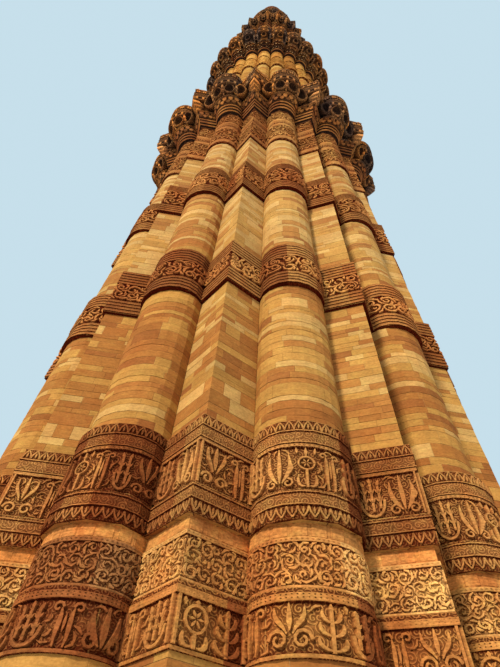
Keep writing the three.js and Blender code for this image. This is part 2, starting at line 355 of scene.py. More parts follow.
PALE_FLOOR = ((0.70, 0.68, 0.64), (0.76, 0.74, 0.70))
RUST = (0.86, 0.60, 0.48)
# Pale golden patches: partly bleached stone, partly painted light
BLEACH_AND_PAINTED_LIGHT = (1.12, 1.27, 1.2)
SOOT = (0.12, 0.055, 0.025)
DARK_MORTAR = (0.20, 0.085, 0.035)
PALE_MORTAR = (0.60, 0.42, 0.20)
LACE_SCALE = 32.0
TURNS_PER_RADIAN = 0.159155
TURNS_PER_CELL = 3.1


class Paint:
    """A material's node tree with short calls for the nodes that stone needs."""

    def __init__(self, name, roughness):
        self.material = bpy.data.materials.new(name)
        self.material.use_nodes = True
        self.tree = self.material.node_tree
        self.shader = self.tree.nodes["Principled BSDF"]
        self.shader.inputs["Roughness"].default_value = roughness
        self.shader.inputs["Specular IOR Level"].default_value = 0.04
        self.place = self.node("ShaderNodeTexCoord")["Object"]

    def node(self, kind, inputs=None, **settings):
        return add_node(self.tree, kind, inputs, **settings)

    def attribute(self, name):
        return self.node("ShaderNodeAttribute", attribute_name=name)

    def split(self, vector):
        return self.node("ShaderNodeSeparateXYZ", {0: vector})

    def vector(self, operation, first, second=(0, 0, 0)):
        """Vector arithmetic; the second input of SCALE is a number."""
        inputs = {0: first, "Scale" if operation == "SCALE" else 1: second}
        return self.node("ShaderNodeVectorMath", inputs, operation=operation)

    def math(self, operation, first, second=0.0):
        return self.node("ShaderNodeMath", {0: first, 1: second}, operation=operation)["Value"]

    def remap(self, value, low, high, to_low=0.0, to_high=1.0):
        limits = {"From Min": low, "From Max": high, "To Min": to_low, "To Max": to_high}
        return self.node("ShaderNodeMapRange", {"Value": value, **limits})["Result"]

    def mix(self, blend, factor, first, second):
        inputs = {0: factor, 6: opaque(first), 7: opaque(second)}
        return self.node("ShaderNodeMix", inputs, data_type="RGBA", blend_type=blend)[2]

    def noise(self, scale, detail=4.0, stretch=(1, 1, 1), roughness=0.55):
        """Noise over the object's own coordinates; stretch squeezes it along an axis."""
        place = self.node("ShaderNodeMapping", {"Vector": self.place, "Scale": stretch})["Vector"]
        inputs = {"Vector": place, "Scale": scale, "Detail": detail, "Roughness": roughness}
        return self.node("ShaderNodeTexNoise", inputs)["Fac"]

    def lace(self):
        """Small holes between thin curling lines: 1 in the holes, 0 on the lines."""
        wander = self.node("ShaderNodeTexNoise", {"Vector": self.place, "Scale": LACE_SCALE * 0.7})["Color"]
        moved = self.vector("ADD", self.place, self.vector("SCALE", wander, 0.9 / LACE_SCALE)[0])[0]
        inputs = {"Vector": moved, "Scale": LACE_SCALE}
        cells = self.node("ShaderNodeTexVoronoi", inputs, feature="DISTANCE_TO_EDGE")
        return self.remap(cells["Distance"], 0.06, 0.16)

    def scrolls(self):
        """Curling stems, one curl to each cell of the chart: 1 in the holes between them, 0 on the stems."""
        chart = self.attribute("chart")["Vector"]
        inputs = {"Vector": chart, "Scale": 1.0, "Randomness": 0.75}
        cells = self.node("ShaderNodeTexVoronoi", inputs, voronoi_dimensions="2D")
        offset = self.vector("SUBTRACT", chart, cells["Position"])[0]
        sides = self.split(offset)
        chance = self.split(cells["Color"])
        hand = self.math("SIGN", self.math("SUBTRACT", chance["X"], 0.5))
        turn = self.math("MULTIPLY", self.math("ARCTAN2", sides["Y"], sides["X"]), TURNS_PER_RADIAN)
        winding = self.math("ADD", self.math("MULTIPLY", turn, hand), chance["Y"])
        reach = self.math("MULTIPLY", self.vector("LENGTH", offset)["Value"], TURNS_PER_CELL)
        return self.remap(self.math("PINGPONG", self.math("ADD", winding, reach), 0.5), 0.17, 0.3)

    def finish(self, colour, height=None, distance=0.0, strength=1.0):
        """The material, with its colour and with the bump that a height gives it."""
        self.tree.links.new(colour, self.shader.inputs["Base Color"])
        if height is not None:
            inputs = {"Height": height, "Distance": distance, "Strength": strength}
            bump = self.node("ShaderNodeBump", inputs)["Normal"]
            self.tree.links.new(bump, self.shader.inputs["Normal"])
        return self.material


def floor_paint():
    paint = Paint("pale_floor", 0.9)
    return paint.finish(paint.mix("MIX", paint.remap(paint.noise(0.6), 0.3, 0.7), *PALE_FLOOR))


def weathered(paint, colour, wear, rusty):
    """Bedding, blotches, grain, rust, pale patches of bleaching and painted light, a little soot; wear and
    rusty say how strong.
    """
    bedding = paint.remap(paint.noise(9.0, 6.0, (1, 1, 7)), 0.3, 0.7, 1 - 0.2 * wear, 1 + 0.16 * wear)
    blotch = paint.remap(paint.noise(3.2, 5.0), 0.3, 0.7, 1 - 0.16 * wear, 1 + 0.12 * wear)
    grain = paint.remap(paint.noise(42.0, 6.0, (1, 1, 1.6)), 0.32, 0.68, 1 - 0.24 * wear, 1 + 0.2 * wear)
    shade = paint.math("MULTIPLY", paint.math("MULTIPLY", bedding, blotch), grain)
    shaded = paint.vector("SCALE", colour, shade)[0]
    rust = paint.remap(paint.noise(3.1, 6.0, (1, 1, 0.6), 0.6), 0.46, 0.64, 0.0, rusty)
    # Partly painted light: paler golden patches at random, part bleached stone and part painted pools of
    # light
    bleach_and_light_patches = paint.remap(paint.noise(8.0, 5.0, (1, 1, 1.5), 0.6), 0.5, 0.64, 0.0, 0.7 * wear)
    darkening = paint.remap(paint.noise(1.3, 7.0, (1, 1, 0.35), 0.65), 0.56, 0.78, 0.0, 0.45 * wear)
    stained = paint.mix("MULTIPLY", rust, shaded, RUST)
    return paint.mix("MIX", darkening, paint.mix("MULTIPLY", bleach_and_light_patches, stained, BLEACH_AND_PAINTED_LIGHT), SOOT)


def masonry_paint():
    """Coursed blocks: each has its own colour, and its joints are darker and sunk."""
    paint = Paint("coursed_sandstone", 0.86)
    near = paint.split(paint.attribute("from_left_and_foot")["Vector"])
    far = paint.split(paint.attribute("from_right_and_head")["Vector"])
    level = paint.math("MINIMUM", near["Y"], far["Y"])
    upright = paint.math("MINIMUM", near["X"], far["X"])
    ragged = paint.remap(paint.noise(60.0), 0.3, 0.7, -0.0012, 0.0012)
    edge = paint.math("ADD", paint.math("MINIMUM", level, upright), ragged)
    joint = paint.remap(edge, 0.0008, 0.0035, 1.0, 0.0)
    stone = weathered(paint, paint.attribute("stone")["Color"], 0.7, 0.28)
    worn = paint.remap(paint.noise(2.1, 3.0), 0.45, 0.6)
    mortar = paint.mix("MIX", worn, DARK_MORTAR, PALE_MORTAR)
    colour = paint.mix("MIX", paint.math("MULTIPLY", joint, 0.24), stone, mortar)
    pits = paint.math("MULTIPLY", paint.noise(45.0, 8.0, (1, 1, 3)), 0.35)
    return paint.finish(colour, paint.math("SUBTRACT", pits, joint), 0.006, 0.7)


def carved_paint(name, openwork, deep):
    """Carved stone with a tint for each point, painted shade included; openwork is the pattern cut in its
    grounds, deep the painted shade in its holes.
    """
    paint = Paint(name, 0.9)
    tint = paint.attribute("tint")
    stone = weathered(paint, tint["Color"], 1.3, 0.62)
    hollow_shade = paint.remap(tint["Alpha"], 0.82, 0.92, 1.0, 0.0)
    cut = paint.math("MULTIPLY", hollow_shade, openwork(paint))
    # Painted shade: the openwork's holes in the grounds are darkened to deep; the bump sinks them too
    colour = paint.mix("MIX", paint.math("MULTIPLY", cut, 0.8), stone, deep)
    pits = paint.math("MULTIPLY", paint.noise(70.0, 8.0), 0.5)
    return paint.finish(colour, paint.math("SUBTRACT", pits, cut), 0.012, 0.8)


def core_paint(name, pale, deep):
    """Blocks laid in rings for the faces of the structure that show, as on the plinth, floors and wells."""
    paint = Paint(name, 0.9)
    place = paint.split(paint.place)
    level = paint.node("ShaderNodeCombineXYZ", {"X": place["X"], "Y": place["Y"]})[0]
    radius = paint.vector("LENGTH", level)["Value"]
    turn = paint.math("MULTIPLY", paint.math("ARCTAN2", place["Y"], place["X"]), 2.5)
    unrolled = {"X": turn, "Y": paint.math("ADD", place["Z"], radius)}
    blocks = paint.node("ShaderNodeTexBrick", {
        "Vector": paint.node("ShaderNodeCombineXYZ", unrolled)[0],
        "Color1": opaque(pale), "Color2": opaque(deep), "Mortar": opaque(UMBER), "Scale": 1.0,
        "Mortar Size": 0.003, "Mortar Smooth": 0.4, "Brick Width": 0.34, "Row Height": 0.1,
    })
    pits = paint.math("SUBTRACT", paint.noise(40.0, 8.0), blocks["Fac"])
    return paint.finish(weathered(paint, blocks["Color"], 1.0, 0.4), pits, 0.006, 0.7)


# Surfaces that the carving follows

class Wall:
    """The outer surface of a storey or balcony: a plan, and a radius that changes with height."""

    def __init__(self, style, heights, radii):
        self.style = style
        self.heights = heights
        self.radii = radii

    def radius(self, height):
        return np.interp(height, self.heights, self.radii)

    def place(self, flute, share, height, out, ground=0.0):
        """Points in the model's metres, out from a ground that is wider than the wall, in real metres."""
        share, height, out = (np.asarray(value, float) for value in np.broadcast_arrays(share, height, out))
        flat, normal = plan_frame(self.style, flute, share, self.radius(height) + ground)
        return np.concatenate([flat + normal * out[..., None], height[..., None]], axis=-1) * METRE

    def facing(self, flute, share, height):
        """Level outward normals of the wall."""
        _, normal = plan_frame(self.style, flute, share, self.radius(height))
        return np.concatenate([normal, np.zeros((*normal.shape[:-1], 1))], axis=-1)

    def shares_by_length(self, flute, height, low=0.0, high=1.0):
        """A table of the length along a flute and the share that it reaches."""
        shares = np.linspace(low, high, 61)
        flat, _ = plan_frame(self.style, flute, shares, float(self.radius(height)))
        run = np.concatenate([[0], np.cumsum(np.linalg.norm(np.diff(flat, axis=0), axis=1))])
        return run, shares

    def faces(self, flute, margin=0.0, arris=0.0):
        """The share ranges of a flute's faces: one on a round flute, two on an angular one."""
        if flute_form(self.style, flute)[0] == "wedge":
            return [(margin, 0.5 - arris), (0.5 + arris, 1 - margin)]
        return [(margin, 1 - margin)]


def storey_wall(storey):
    form = STOREYS[storey]
    return Wall(form["style"], [form["low"], form["high"]], [form["foot"], form["head"]])


# Blocks: a band's stones, each with its own colour

# Colours that painted shade takes in hollows, under ledges and at the feet of strokes: reddish on the shaft,
# bluish on the balconies
HOLLOW_SHADE = np.array([0.2, 0.022, 0.004])
BLUISH_HOLLOW_SHADE = np.array([0.06, 0.068, 0.15])
# Round flutes that are darker and redder in the low bands, and how dark they are by height
DARKENED_FLUTES = (8, 13, 17, 23)
DARKENED_HEIGHTS = (4.6, 5.3, 5.6)
DARKENED_SHARES = (0.6, 0.53, 1.0)
REDDENED = np.array([1.0, 0.84, 0.95])


class Blocks:
    """Cuts every flute of a band into blocks and keeps each block's colour."""

    def __init__(self, wall, height, seed, palette, weights, length=0.75):
        random = np.random.default_rng(seed)
        darkened = np.interp(height, DARKENED_HEIGHTS, DARKENED_SHARES) * REDDENED ** (height < DARKENED_HEIGHTS[-1])
        # The colour that painted shade takes in this band's hollows
        self.hollow_shade = HOLLOW_SHADE
        self.flutes = []
        palette = np.array(palette)
        weights = np.array(weights, float)
        for flute in range(FLUTES):
            width = flute_width(wall.style, flute, float(wall.radius(height)))
            cuts = [0.0]
            while cuts[-1] < 1:
                cuts.append(cuts[-1] + random.uniform(0.6, 1.4) * length / width)
            cuts = [cut for cut in cuts if 0.1 < cut < 0.9 and abs(cut - 0.5) > 0.08]
            if flute_form(wall.style, flute)[0] == "wedge":
                cuts.append(0.5)
            cuts = np.array([0.0, *sorted(cuts), 1.0])
            picks = random.choice(len(palette), size=len(cuts) - 1, p=weights / weights.sum())
            tone = random.uniform(0.88, 1.12, size=(len(cuts) - 1, 1))
            darkening = darkened if flute in DARKENED_FLUTES else 1
            self.flutes.append((cuts, palette[picks] * tone * darkening))

    def colour(self, flute, share):
        cuts, colours = self.flutes[flute]
        return colours[np.clip(np.searchsorted(cuts, share, side="right") - 1, 0, len(cuts) - 2)]


def shade(colour, level, hollow_shade=HOLLOW_SHADE):
    """A block's colour with painted shade: nearly black at level 0 in the hollows, its own colour at level 1
    on the crests.
    """
    level = np.asarray(level)[..., None]
    return colour * (hollow_shade * (1 - level) + level)


def sweep(work, wall, blocks, profile, steps, curl):
    """Mouldings that follow the plan. The profile gives height, standing-out and level of painted shade of
    each line.
    """
    heights, outs, levels = (np.array(column, float) for column in zip(*profile))
    radii = wall.radius(heights) + outs
    for flute in range(FLUTES):
        grid = across(wall.style, flute, steps)
        cuts, colours = blocks.flutes[flute]
        run, table = wall.shares_by_length(flute, heights.mean())
        for start, end, colour in zip(cuts[:-1], cuts[1:], colours):
            inner = grid[(grid > start + 1e-4) & (grid < end - 1e-4)]
            shares = np.array([start, *inner, end])
            # The two faces of an arris keep their own normals
            sampled = np.clip(shares, start + 1e-6, end - 1e-6)
            flat, _ = plan_frame(wall.style, flute, sampled[None, :], radii[:, None])
            # Painted shade: each line's level darkens its block colour, most under ledges and in grooves
            tint = np.broadcast_to(shade(colour, levels, blocks.hollow_shade)[:, None, :], (*flat.shape[:2], 3))
            along, up = np.meshgrid(np.interp(shares, table, run) + flute * FLUTES, heights)
            work.grid(raised(flat, heights), tint, levels[:, None], chart=np.dstack([along, up]) / curl)


# Carving drawn on flat sheets and bent onto the walls

# A stroke's cross-section: shares of its half width, and of its lift there; the lift is also its level, so
# painted shade darkens its feet
FLAT_TOPPED = ((-1.0, -0.74, 0.74, 1.0), (0.0, 1.0, 1.0, 0.0))
RIDGED = ((-1.0, 0.0, 1.0), (0.0, 1.0, 0.0))
# How far the feet and ends of strokes are sunk in their ground
SINK = 0.012
BLADE_STEPS = 5


class Sheet:
    """Strokes in relief on a flat sheet, in real metres: u along, v up, out, and level of painted shade."""

    def __init__(self, width, height):
        self.width = width
        self.height = height
        self.parts = []
        self.count = 0

    def stroke(self, path, width, out, crest=1.0, section=FLAT_TOPPED):
        """A raised line along a path, with its ends run down into the ground; its feet and ends get painted
        shade, and crest is its top's level.
        """
        path = np.asarray(path, float)
        along = np.gradient(path, axis=0)
        along /= np.maximum(np.linalg.norm(along, axis=1, keepdims=True), 1e-9)
        half = np.broadcast_to(width, len(path)) / 2
        path = np.vstack([path[0] - along[0] * half[0] * 0.5, path, path[-1] + along[-1] * half[-1] * 0.5])
        along = np.vstack([along[0], along, along[-1]])
        half = np.concatenate([[half[0] * 0.7], half, [half[-1] * 0.7]])
        side = np.stack([along[:, 1], -along[:, 0]], axis=1)
        shares, lifts = np.array(section)
        lift = np.tile(lifts, (len(path), 1))
        lift[[0, -1]] = 0
        place = path[:, None] + side[:, None] * (shares * half[:, None])[..., None]
        index = np.arange(lift.size).reshape(lift.shape) + self.count
        self.parts.append((np.dstack([place, lift * (out + SINK) - SINK, lift * crest]), grid_quads(index)))
        self.count += lift.size

    def leaf(self, foot, tip, width, out, bend=0.0, steps=2):
        """A pointed leaf from foot to tip."""
        foot, tip = np.asarray(foot, float), np.asarray(tip, float)
        share = np.linspace(0, 1, steps + 1)[:, None]
        run = tip - foot
        side = np.array([run[1], -run[0]])
        path = foot + run * share + side * bend * np.sin(math.pi * share)
        self.stroke(path, width * (0.2 + 0.8 * np.sin(math.pi * share[:, 0] ** 0.8)), out)

    def rosette(self, centre, inner, outer, width, out):
        """Six petals round a centre."""
        for petal in range(6):
            angle = math.pi * petal / 3
            self.leaf(polar(centre, inner, angle), polar(centre, outer, angle), width, out)

    def done(self):
        """The sheet, ready to be bent any number of times."""
        self.points, self.quads = joined(self.parts)
        return self

    def bend(self, work, wall, flute, span, low, high, ground, blocks, bright, depth):
        """Lays the sheet on a flute between two shares and two heights; depth is how much painted shade
        darkens the strokes' feet.
        """
        run, table = wall.shares_by_length(flute, (low + high) / 2, *span)
        u, v, out, level = self.points.T
        share = np.interp(np.clip(u / self.width, 0, 1) * run[-1], run, table)
        height = low + np.clip(v / self.height, 0, 1) * (high - low)
        levels = 1 - depth * (1 - level)
        tint = shade(blocks.colour(flute, share), levels, blocks.hollow_shade) * bright
        work.add(wall.place(flute, share, height, out, ground), self.quads, tint, levels)


class Ornament:
    """An upright ornament on a sheet, drawn with a pen of one width.

    A place on it is so many pens aside of its middle, a share of its height up, and some pens further up.
    Its leaves' widths and its curls' radii are in pens too.
    """

    def __init__(self, sheet, middle, height, pen, out):
        self.sheet = sheet
        self.middle = middle
        self.height = height
        self.pen = pen
        self.out = out

    def at(self, aside, up, further=0.0):
        return np.array([self.middle + aside * self.pen, up * self.height + further * self.pen])

    def stem(self, *places):
        self.sheet.stroke([self.at(*place) for place in places], self.pen, self.out)

    def leaf(self, foot, tip, width, bend=0.0, steps=2):
        self.sheet.leaf(self.at(*foot), self.at(*tip), width * self.pen, self.out, bend, steps)

    def bezier(self, places, steps):
        """Points on a Bezier curve with four control points."""
        t = np.linspace(0, 1, steps + 1)[:, None]
        a, b, c, d = (self.at(*place) for place in places)
        return a * (1 - t) ** 3 + 3 * b * t * (1 - t) ** 2 + 3 * c * t * t * (1 - t) + d * t ** 3

    def curve(self, places, steps):
        self.sheet.stroke(self.bezier(places, steps), self.pen, self.out)

    def blade(self, width, *places):
        """A broad flat leaf along a curve, narrow at its foot and pointed at its tip."""
        share = np.linspace(0, 1, BLADE_STEPS + 1)
        swell = 0.3 + 0.7 * np.sin(math.pi * share ** 1.2)
        self.sheet.stroke(self.bezier(places, BLADE_STEPS), width * self.pen * swell, self.out)

    def spiral(self, centre, outer, inner, start, turn, width, steps):
        """A line that turns round a centre from one radius to another; its angles are in degrees."""
        share = np.linspace(0, 1, steps + 1)
        radius = (outer + (inner - outer) * share) * self.pen
        path = polar(self.at(*centre), radius, np.radians(start + turn * share))
        self.sheet.stroke(path, width * self.pen * (1 - 0.3 * share), self.out)


def reeds(draw, places):
    """Leafy reeds with leaning buds that stand in a cup; places are theirs from the middle."""
    rim = max(places) + 1.4
    draw.curve(((-rim, 0.42), (-0.95 * rim, -0.1), (0.95 * rim, -0.1), (rim, 0.42)), 8)
    for place in places:
        foot = 0.15 + 0.015 * place * place
        top = 0.86 - 0.03 * abs(place)
        draw.stem((place, foot), (place * 1.05, (foot + top) / 2), (place, top))
        draw.leaf((place * 0.88, top - 0.04), (place * 1.3, top + 0.13), 1.5)
        for level in (0.36, 0.58):
            for side in (-1, 1):
                draw.leaf((place, level), (place + side, level + 0.12), 0.9)


def medallion(draw):
    """A ring with a rosette in it, on a stem with two leaves, and a bud over it."""
    draw.spiral((0, 0.6), 2.5, 2.5, 0, 360, 0.85, 13)
    draw.sheet.rosette(draw.at(0, 0.6), 0.3 * draw.pen, 1.7 * draw.pen, 0.7 * draw.pen, draw.out)
    draw.stem((0, 0), (0, 0.3), (0, 0.6, -2.4))
    draw.leaf((0, 0.6, 2.6), (0, 1), 1.5)
    for side in (-1, 1):
        draw.blade(1.2, (side * 0.7, 0.03), (side * 2.4, 0), (side * 3.2, 0.1), (side * 2.6, 0.3))
        draw.leaf((side * 2.8, 0.84), (side * 3, 1), 1.2)


def palmette(draw):
    """Three broad leaves that spread from one foot, with a curl on each side."""
    for lean in (-1, 0, 1):
        draw.leaf((lean * 0.7, 0.12), (lean * 3, 0.98 - 0.14 * abs(lean)), 1.8, 0.12 * lean, 4)
    for side in (-1, 1):
        draw.spiral((side * 2.5, 0, 1.9), 1.7, 0.5, 90, side * -380, 0.85, 8)
        draw.leaf((side * 3.4, 0.36), (side * 3.9, 0.6), 1.1, 0.1)


def tall_leaves(draw):
    """Two tall leaves back to back whose tips curl outwards, with a bud between their feet."""
    for side in (-1, 1):
        draw.blade(1.3, (side, 0), (side * 1.6, 0.3), (side * 0.7, 0.6), (side * 1.3, 0.82))
        draw.spiral((side * 2.2, 0.84), 1.2, 0.4, 90 + side * 90, side * -330, 0.8, 7)
    draw.leaf((0, 0.3), (0, 0.72), 0.9)


def scroll_pair(draw):
    """Two scrolls back to back that carry a trefoil."""
    for side in (-1, 1):
        draw.spiral((side * 2.4, 0, 2.3), 2.0, 0.6, 90 - side * 90, side * 430, 0.9, 11)
        draw.blade(1.3, (side * 0.6, 0.36), (side * 1.4, 0.6), (side * 3.4, 0.6), (side * 3.1, 0.92))
    draw.leaf((0, 0.42), (0, 1), 1.5, steps=3)


def tiered_stem(draw):
    """A stem with mirrored leaves in three tiers and a bud on top."""
    draw.curve(((0, 0), (0, 0.3), (0, 0.6), (0, 0.84)), 3)
    for foot, reach in ((0.04, 3.2), (0.33, 2.8), (0.6, 2.2)):
        for side in (-reach, reach):
            tip = (side * 0.85, foot + 0.27)
            draw.blade(1.05, (0, foot), (side * 0.7, foot + 0.02), (side, foot + 0.14), tip)
    draw.leaf((0, 0.78), (0, 1), 1.4)


# Each ornament, and the width that it takes in pens
MOTIFS = (
    (lambda draw: reeds(draw, (-2.1, 0.0, 2.1)), 8.4),
    (medallion, 7.6),
    (tiered_stem, 7.4),
    (lambda draw: reeds(draw, (-1.1, 1.1)), 6.4),
    (palmette, 9.2),
    (tall_leaves, 7.6),
    (scroll_pair, 9.4),
)


def curled_leaves(sheet, spacing, pen, out, random, crest=1.0):
    """Fills a sheet's spaces with short bent leaves that turn round hidden centres like a vine's scrolls."""
    size = np.array([sheet.width, sheet.height])
    over, up = (max(1, round(float(length) / (3.4 * spacing))) for length in size)
    centres = np.array([
        (column + random.uniform(0.3, 0.7), row + random.uniform(0.3, 0.7))
        for column in range(over) for row in range(up)
    ]) * size / (over, up)
    hands = random.choice([-1, 1], len(centres))
    crests = (points[points[..., 3] > 0.9][:, :2] for points, _ in sheet.parts)
    spots = np.concatenate([np.empty((0, 2)), *crests])
    for _ in range(int(26 * sheet.width * sheet.height / spacing ** 2)):
        spot = random.uniform(np.full(2, spacing * 0.3), size - spacing * 0.3)
        if len(spots) and np.min(np.linalg.norm(spots - spot, axis=1)) < spacing:
            continue
        spots = np.vstack([spots, spot])
        nearest = int(np.argmin(np.linalg.norm(spot - centres, axis=1)))
        away = spot - centres[nearest]
        radius = max(float(np.linalg.norm(away)), 0.4 * spacing)
        turn = hands[nearest] * min(spacing * random.uniform(1.3, 2.3) / radius, 3.4)
        share = np.linspace(-0.5, 0.5, 4 if radius < 1.2 * spacing else 3)
        angle = math.atan2(away[1], away[0]) + turn * share
        path = polar(centres[nearest], radius * (1 - 0.35 * share), angle)
        swell = np.interp(share, (-0.5, 0.0, 0.5), (0.55, 1.0, 0.3)) * random.uniform(0.8, 1.4)
        sheet.stroke(np.clip(path, 0.01, size - 0.01), pen * swell, out, crest)


def arabesque(width, height, pen, out, spacing, seed):
    """Upright ornaments side by side between two fillets, over lower and finer leaves."""
    random = np.random.default_rng(seed)
    sheet = Sheet(width, height)
    edge = pen * 0.4
    for u in (edge, width - edge):
        sheet.stroke([(u, 0.0), (u, height)], pen * 0.7, out)
    inner = width - 4 * edge
    order = random.permutation(len(MOTIFS))
    chosen = []
    total = 0.0
    while total * pen < inner - 3 * pen:
        chosen.append(MOTIFS[order[len(chosen) % len(MOTIFS)]])
        total += chosen[-1][1]
    left = 2 * edge
    for motif, share in chosen:
        cell = inner * share / total
        motif(Ornament(sheet, left + cell / 2, height * 0.97, min(pen, cell / share), out))
        left += cell
    # The lower leaves' crests get a little painted shade
    curled_leaves(sheet, spacing, pen * 0.62, out * 0.6, random, 0.88)
    return sheet.done()


def tangle(width, height, spacing, pen, out, seed):
    """Nothing but close curled leaves."""
    sheet = Sheet(width, height)
    curled_leaves(sheet, spacing, pen, out, np.random.default_rng(seed))
    return sheet.done()


def cells(width, pitch):
    """The middles of the cells of about a pitch that fill a width, and their exact pitch."""
    count = max(2, round(width / pitch))
    return (np.arange(count) + 0.5) * width / count, width / count


def rosette_row(width, height, pitch, pen, out):
    """Rosettes between upright bars."""
    sheet = Sheet(width, height)
    middles, pitch = cells(width, pitch)
    reach = min(pitch, height)
    for middle in middles:
        sheet.rosette((middle, height / 2), reach * 0.08, reach * 0.4, pen * 1.4, out)
        bar = middle - pitch / 2
        sheet.stroke([(bar, height * 0.12), (bar, height * 0.88)], pen, out, section=RIDGED)
    return sheet.done()


def dentils(width, height, pitch, pen, out):
    """Upright bars with deep gaps."""
    sheet = Sheet(width, height)
    for middle in cells(width, pitch)[0]:
        sheet.stroke([(middle, height * 0.1), (middle, height * 0.9)], pen, out)
    return sheet.done()


TONGUE_CRESTS = (0.95, 0.8, 0.9, 0.75, 1.0)


def tongue_row(width, height, pitch, out):
    """Two rows of round-ended tongues, the lower one set between those of the upper one."""
    sheet = Sheet(width, height)
    middles, pitch = cells(width, pitch)
    between = np.clip([*(middles - pitch / 2), width], pitch * 0.3, width - pitch * 0.3)
    for row, (foot, rise, places) in enumerate(((0.36, 0.6, middles), (0.02, 0.5, between))):
        for cell, place in enumerate(places):
            path = [(place, height * (foot + rise * share)) for share in (0.0, 0.3, 0.7, 1.0)]
            crest = TONGUE_CRESTS[(cell * 3 + row) % len(TONGUE_CRESTS)]
            sheet.stroke(path, pitch * np.array([0.2, 0.75, 0.9, 0.7]), out * (1 - 0.3 * row), crest)
    return sheet.done()


STANDING = (0.06, 0.95)
HANGING = (0.94, 0.05)


def leaf_row(width, height, pitch, pen, out, foot=STANDING[0], tip=STANDING[1]):
    """Pointed arches side by side, with a leaf in each, from foot to tip as shares of the height."""
    sheet = Sheet(width, height)
    middles, pitch = cells(width, pitch)
    rises = (height * (foot + (tip - foot) * share) for share in (0, 0.05, 0.5, 0.7, 1))
    spring, leaf_foot, waist, leaf_tip, point = rises
    for middle in middles:
        sheet.leaf((middle, leaf_foot), (middle, leaf_tip), pen * 1.5, out)
        for side in (-0.5 * pitch, 0.5 * pitch):
            sheet.stroke([(middle + side, spring), (middle + side * 0.7, waist), (middle, point)], pen, out)
    return sheet.done()


# Beads, set out along the mouldings by Geometry Nodes

BEAD = {"Vertices": 4, "Radius Top": 0.22, "Radius Bottom": 0.5, "Depth": 1.0}
# A known fault: this scale was meant to make the beads stand out, and at nought they are flat
# lozenges. The second number of a row's size was meant for it, and the first for the height too.
BEAD_DEPTH = 0.0


def set_out(name, sizes, places, facings, colours, material):
    """Sets a flat bead at each place, facing outwards, and returns one piece; sizes name the inputs."""
    mesh = bpy.data.meshes.new(name + "_places")
    mesh.vertices.add(len(places))
    mesh.vertices.foreach_set("co", places.ravel())
    set_attribute(mesh, "facing", "FLOAT_VECTOR", "POINT", facings)
    set_attribute(mesh, "tint", "FLOAT_COLOR", "POINT", with_alpha(colours))
    holder = add_object(name + "_places", mesh)
    tree = bpy.data.node_groups.new(name + "_setting_out", "GeometryNodeTree")
    tree.interface.new_socket("Geometry", in_out="INPUT", socket_type="NodeSocketGeometry")
    for label in sizes:
        tree.interface.new_socket(label, in_out="INPUT", socket_type="NodeSocketFloat")
    tree.interface.new_socket("Geometry", in_out="OUTPUT", socket_type="NodeSocketGeometry")
    given = add_node(tree, "NodeGroupInput")
    size = {"X": given["Width"], "Y": given["Height"], "Z": given["Depth"]}
    scale = add_node(tree, "ShaderNodeCombineXYZ", size)["Vector"]
    bead = add_node(tree, "GeometryNodeMeshCone", BEAD, fill_type="NGON")["Mesh"]
    shaped = add_node(tree, "GeometryNodeTransform", {"Geometry": bead, "Scale": scale})["Geometry"]
    facing = add_node(tree, "GeometryNodeInputNamedAttribute", {"Name": "facing"}, data_type="FLOAT_VECTOR")
    axes = {"Primary Axis": facing["Attribute"], "Secondary Axis": (0, 0, 1)}
    turn = add_node(tree, "FunctionNodeAxesToRotation", axes, primary_axis="Z", secondary_axis="Y")
    setting = {"Points": given["Geometry"], "Instance": shaped, "Rotation": turn["Rotation"]}
    beads = add_node(tree, "GeometryNodeInstanceOnPoints", setting)["Instances"]
    real = add_node(tree, "GeometryNodeRealizeInstances", {"Geometry": beads})["Geometry"]
    painted = add_node(tree, "GeometryNodeSetMaterial", {"Geometry": real, "Material": material})
    add_node(tree, "NodeGroupOutput", {"Geometry": painted["Geometry"]})
    modifier = holder.modifiers.new("setting_out", "NODES")
    modifier.node_group = tree
    for item in tree.interface.items_tree:
        if item.name in sizes:
            modifier[item.identifier] = sizes[item.name] * METRE
    bpy.context.view_layer.update()
    evaluated = holder.evaluated_get(bpy.context.evaluated_depsgraph_get())
    result = bpy.data.meshes.new_from_object(evaluated)
    result.name = name
    bpy.data.objects.remove(holder)
    return finish_piece(name, result)


def bead_row(name, wall, blocks, rows, pitch, size, bright=1.0):
    """Rows of beads, each row a height and a standing-out; size is a bead's width and height."""
    beads = []
    for height, out in rows:
        for flute in range(FLUTES):
            for low, high in wall.faces(flute):
                run, table = wall.shares_by_length(flute, height, low, high)
                count = max(1, round(run[-1] / pitch))
                shares = np.interp((np.arange(count) + 0.5) / count * run[-1], run, table)
                place = wall.place(flute, shares, height, 0.0, out)
                colour = blocks.colour(flute, shares) * bright
                beads.append((place, wall.facing(flute, shares, height), colour))
    set_out(name, {"Width": size[0], "Height": size[1], "Depth": BEAD_DEPTH}, *joined(beads), CARVED)


make_camera()
make_light()
make_floor()
MASONRY = masonry_paint()
# The last colour of each carved material is the painted shade in the holes of its openwork
CARVED = carved_paint("carved_sandstone", Paint.scrolls, (0.05, 0.004, 0.001))
DARK_CARVED = carved_paint("dark_carved_sandstone", Paint.lace, (0.03, 0.018, 0.016))
CORE = core_paint("plain_core_stone", STRAW, OCHRE)
DARK_CORE = core_paint("dark_core_stone", RED_BROWN, UMBER)
for name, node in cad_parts.items():
    for slot in node.material_slots:
        slot.material = DARK_CORE if name.startswith(("balcony", "top")) else CORE


# Plain masonry

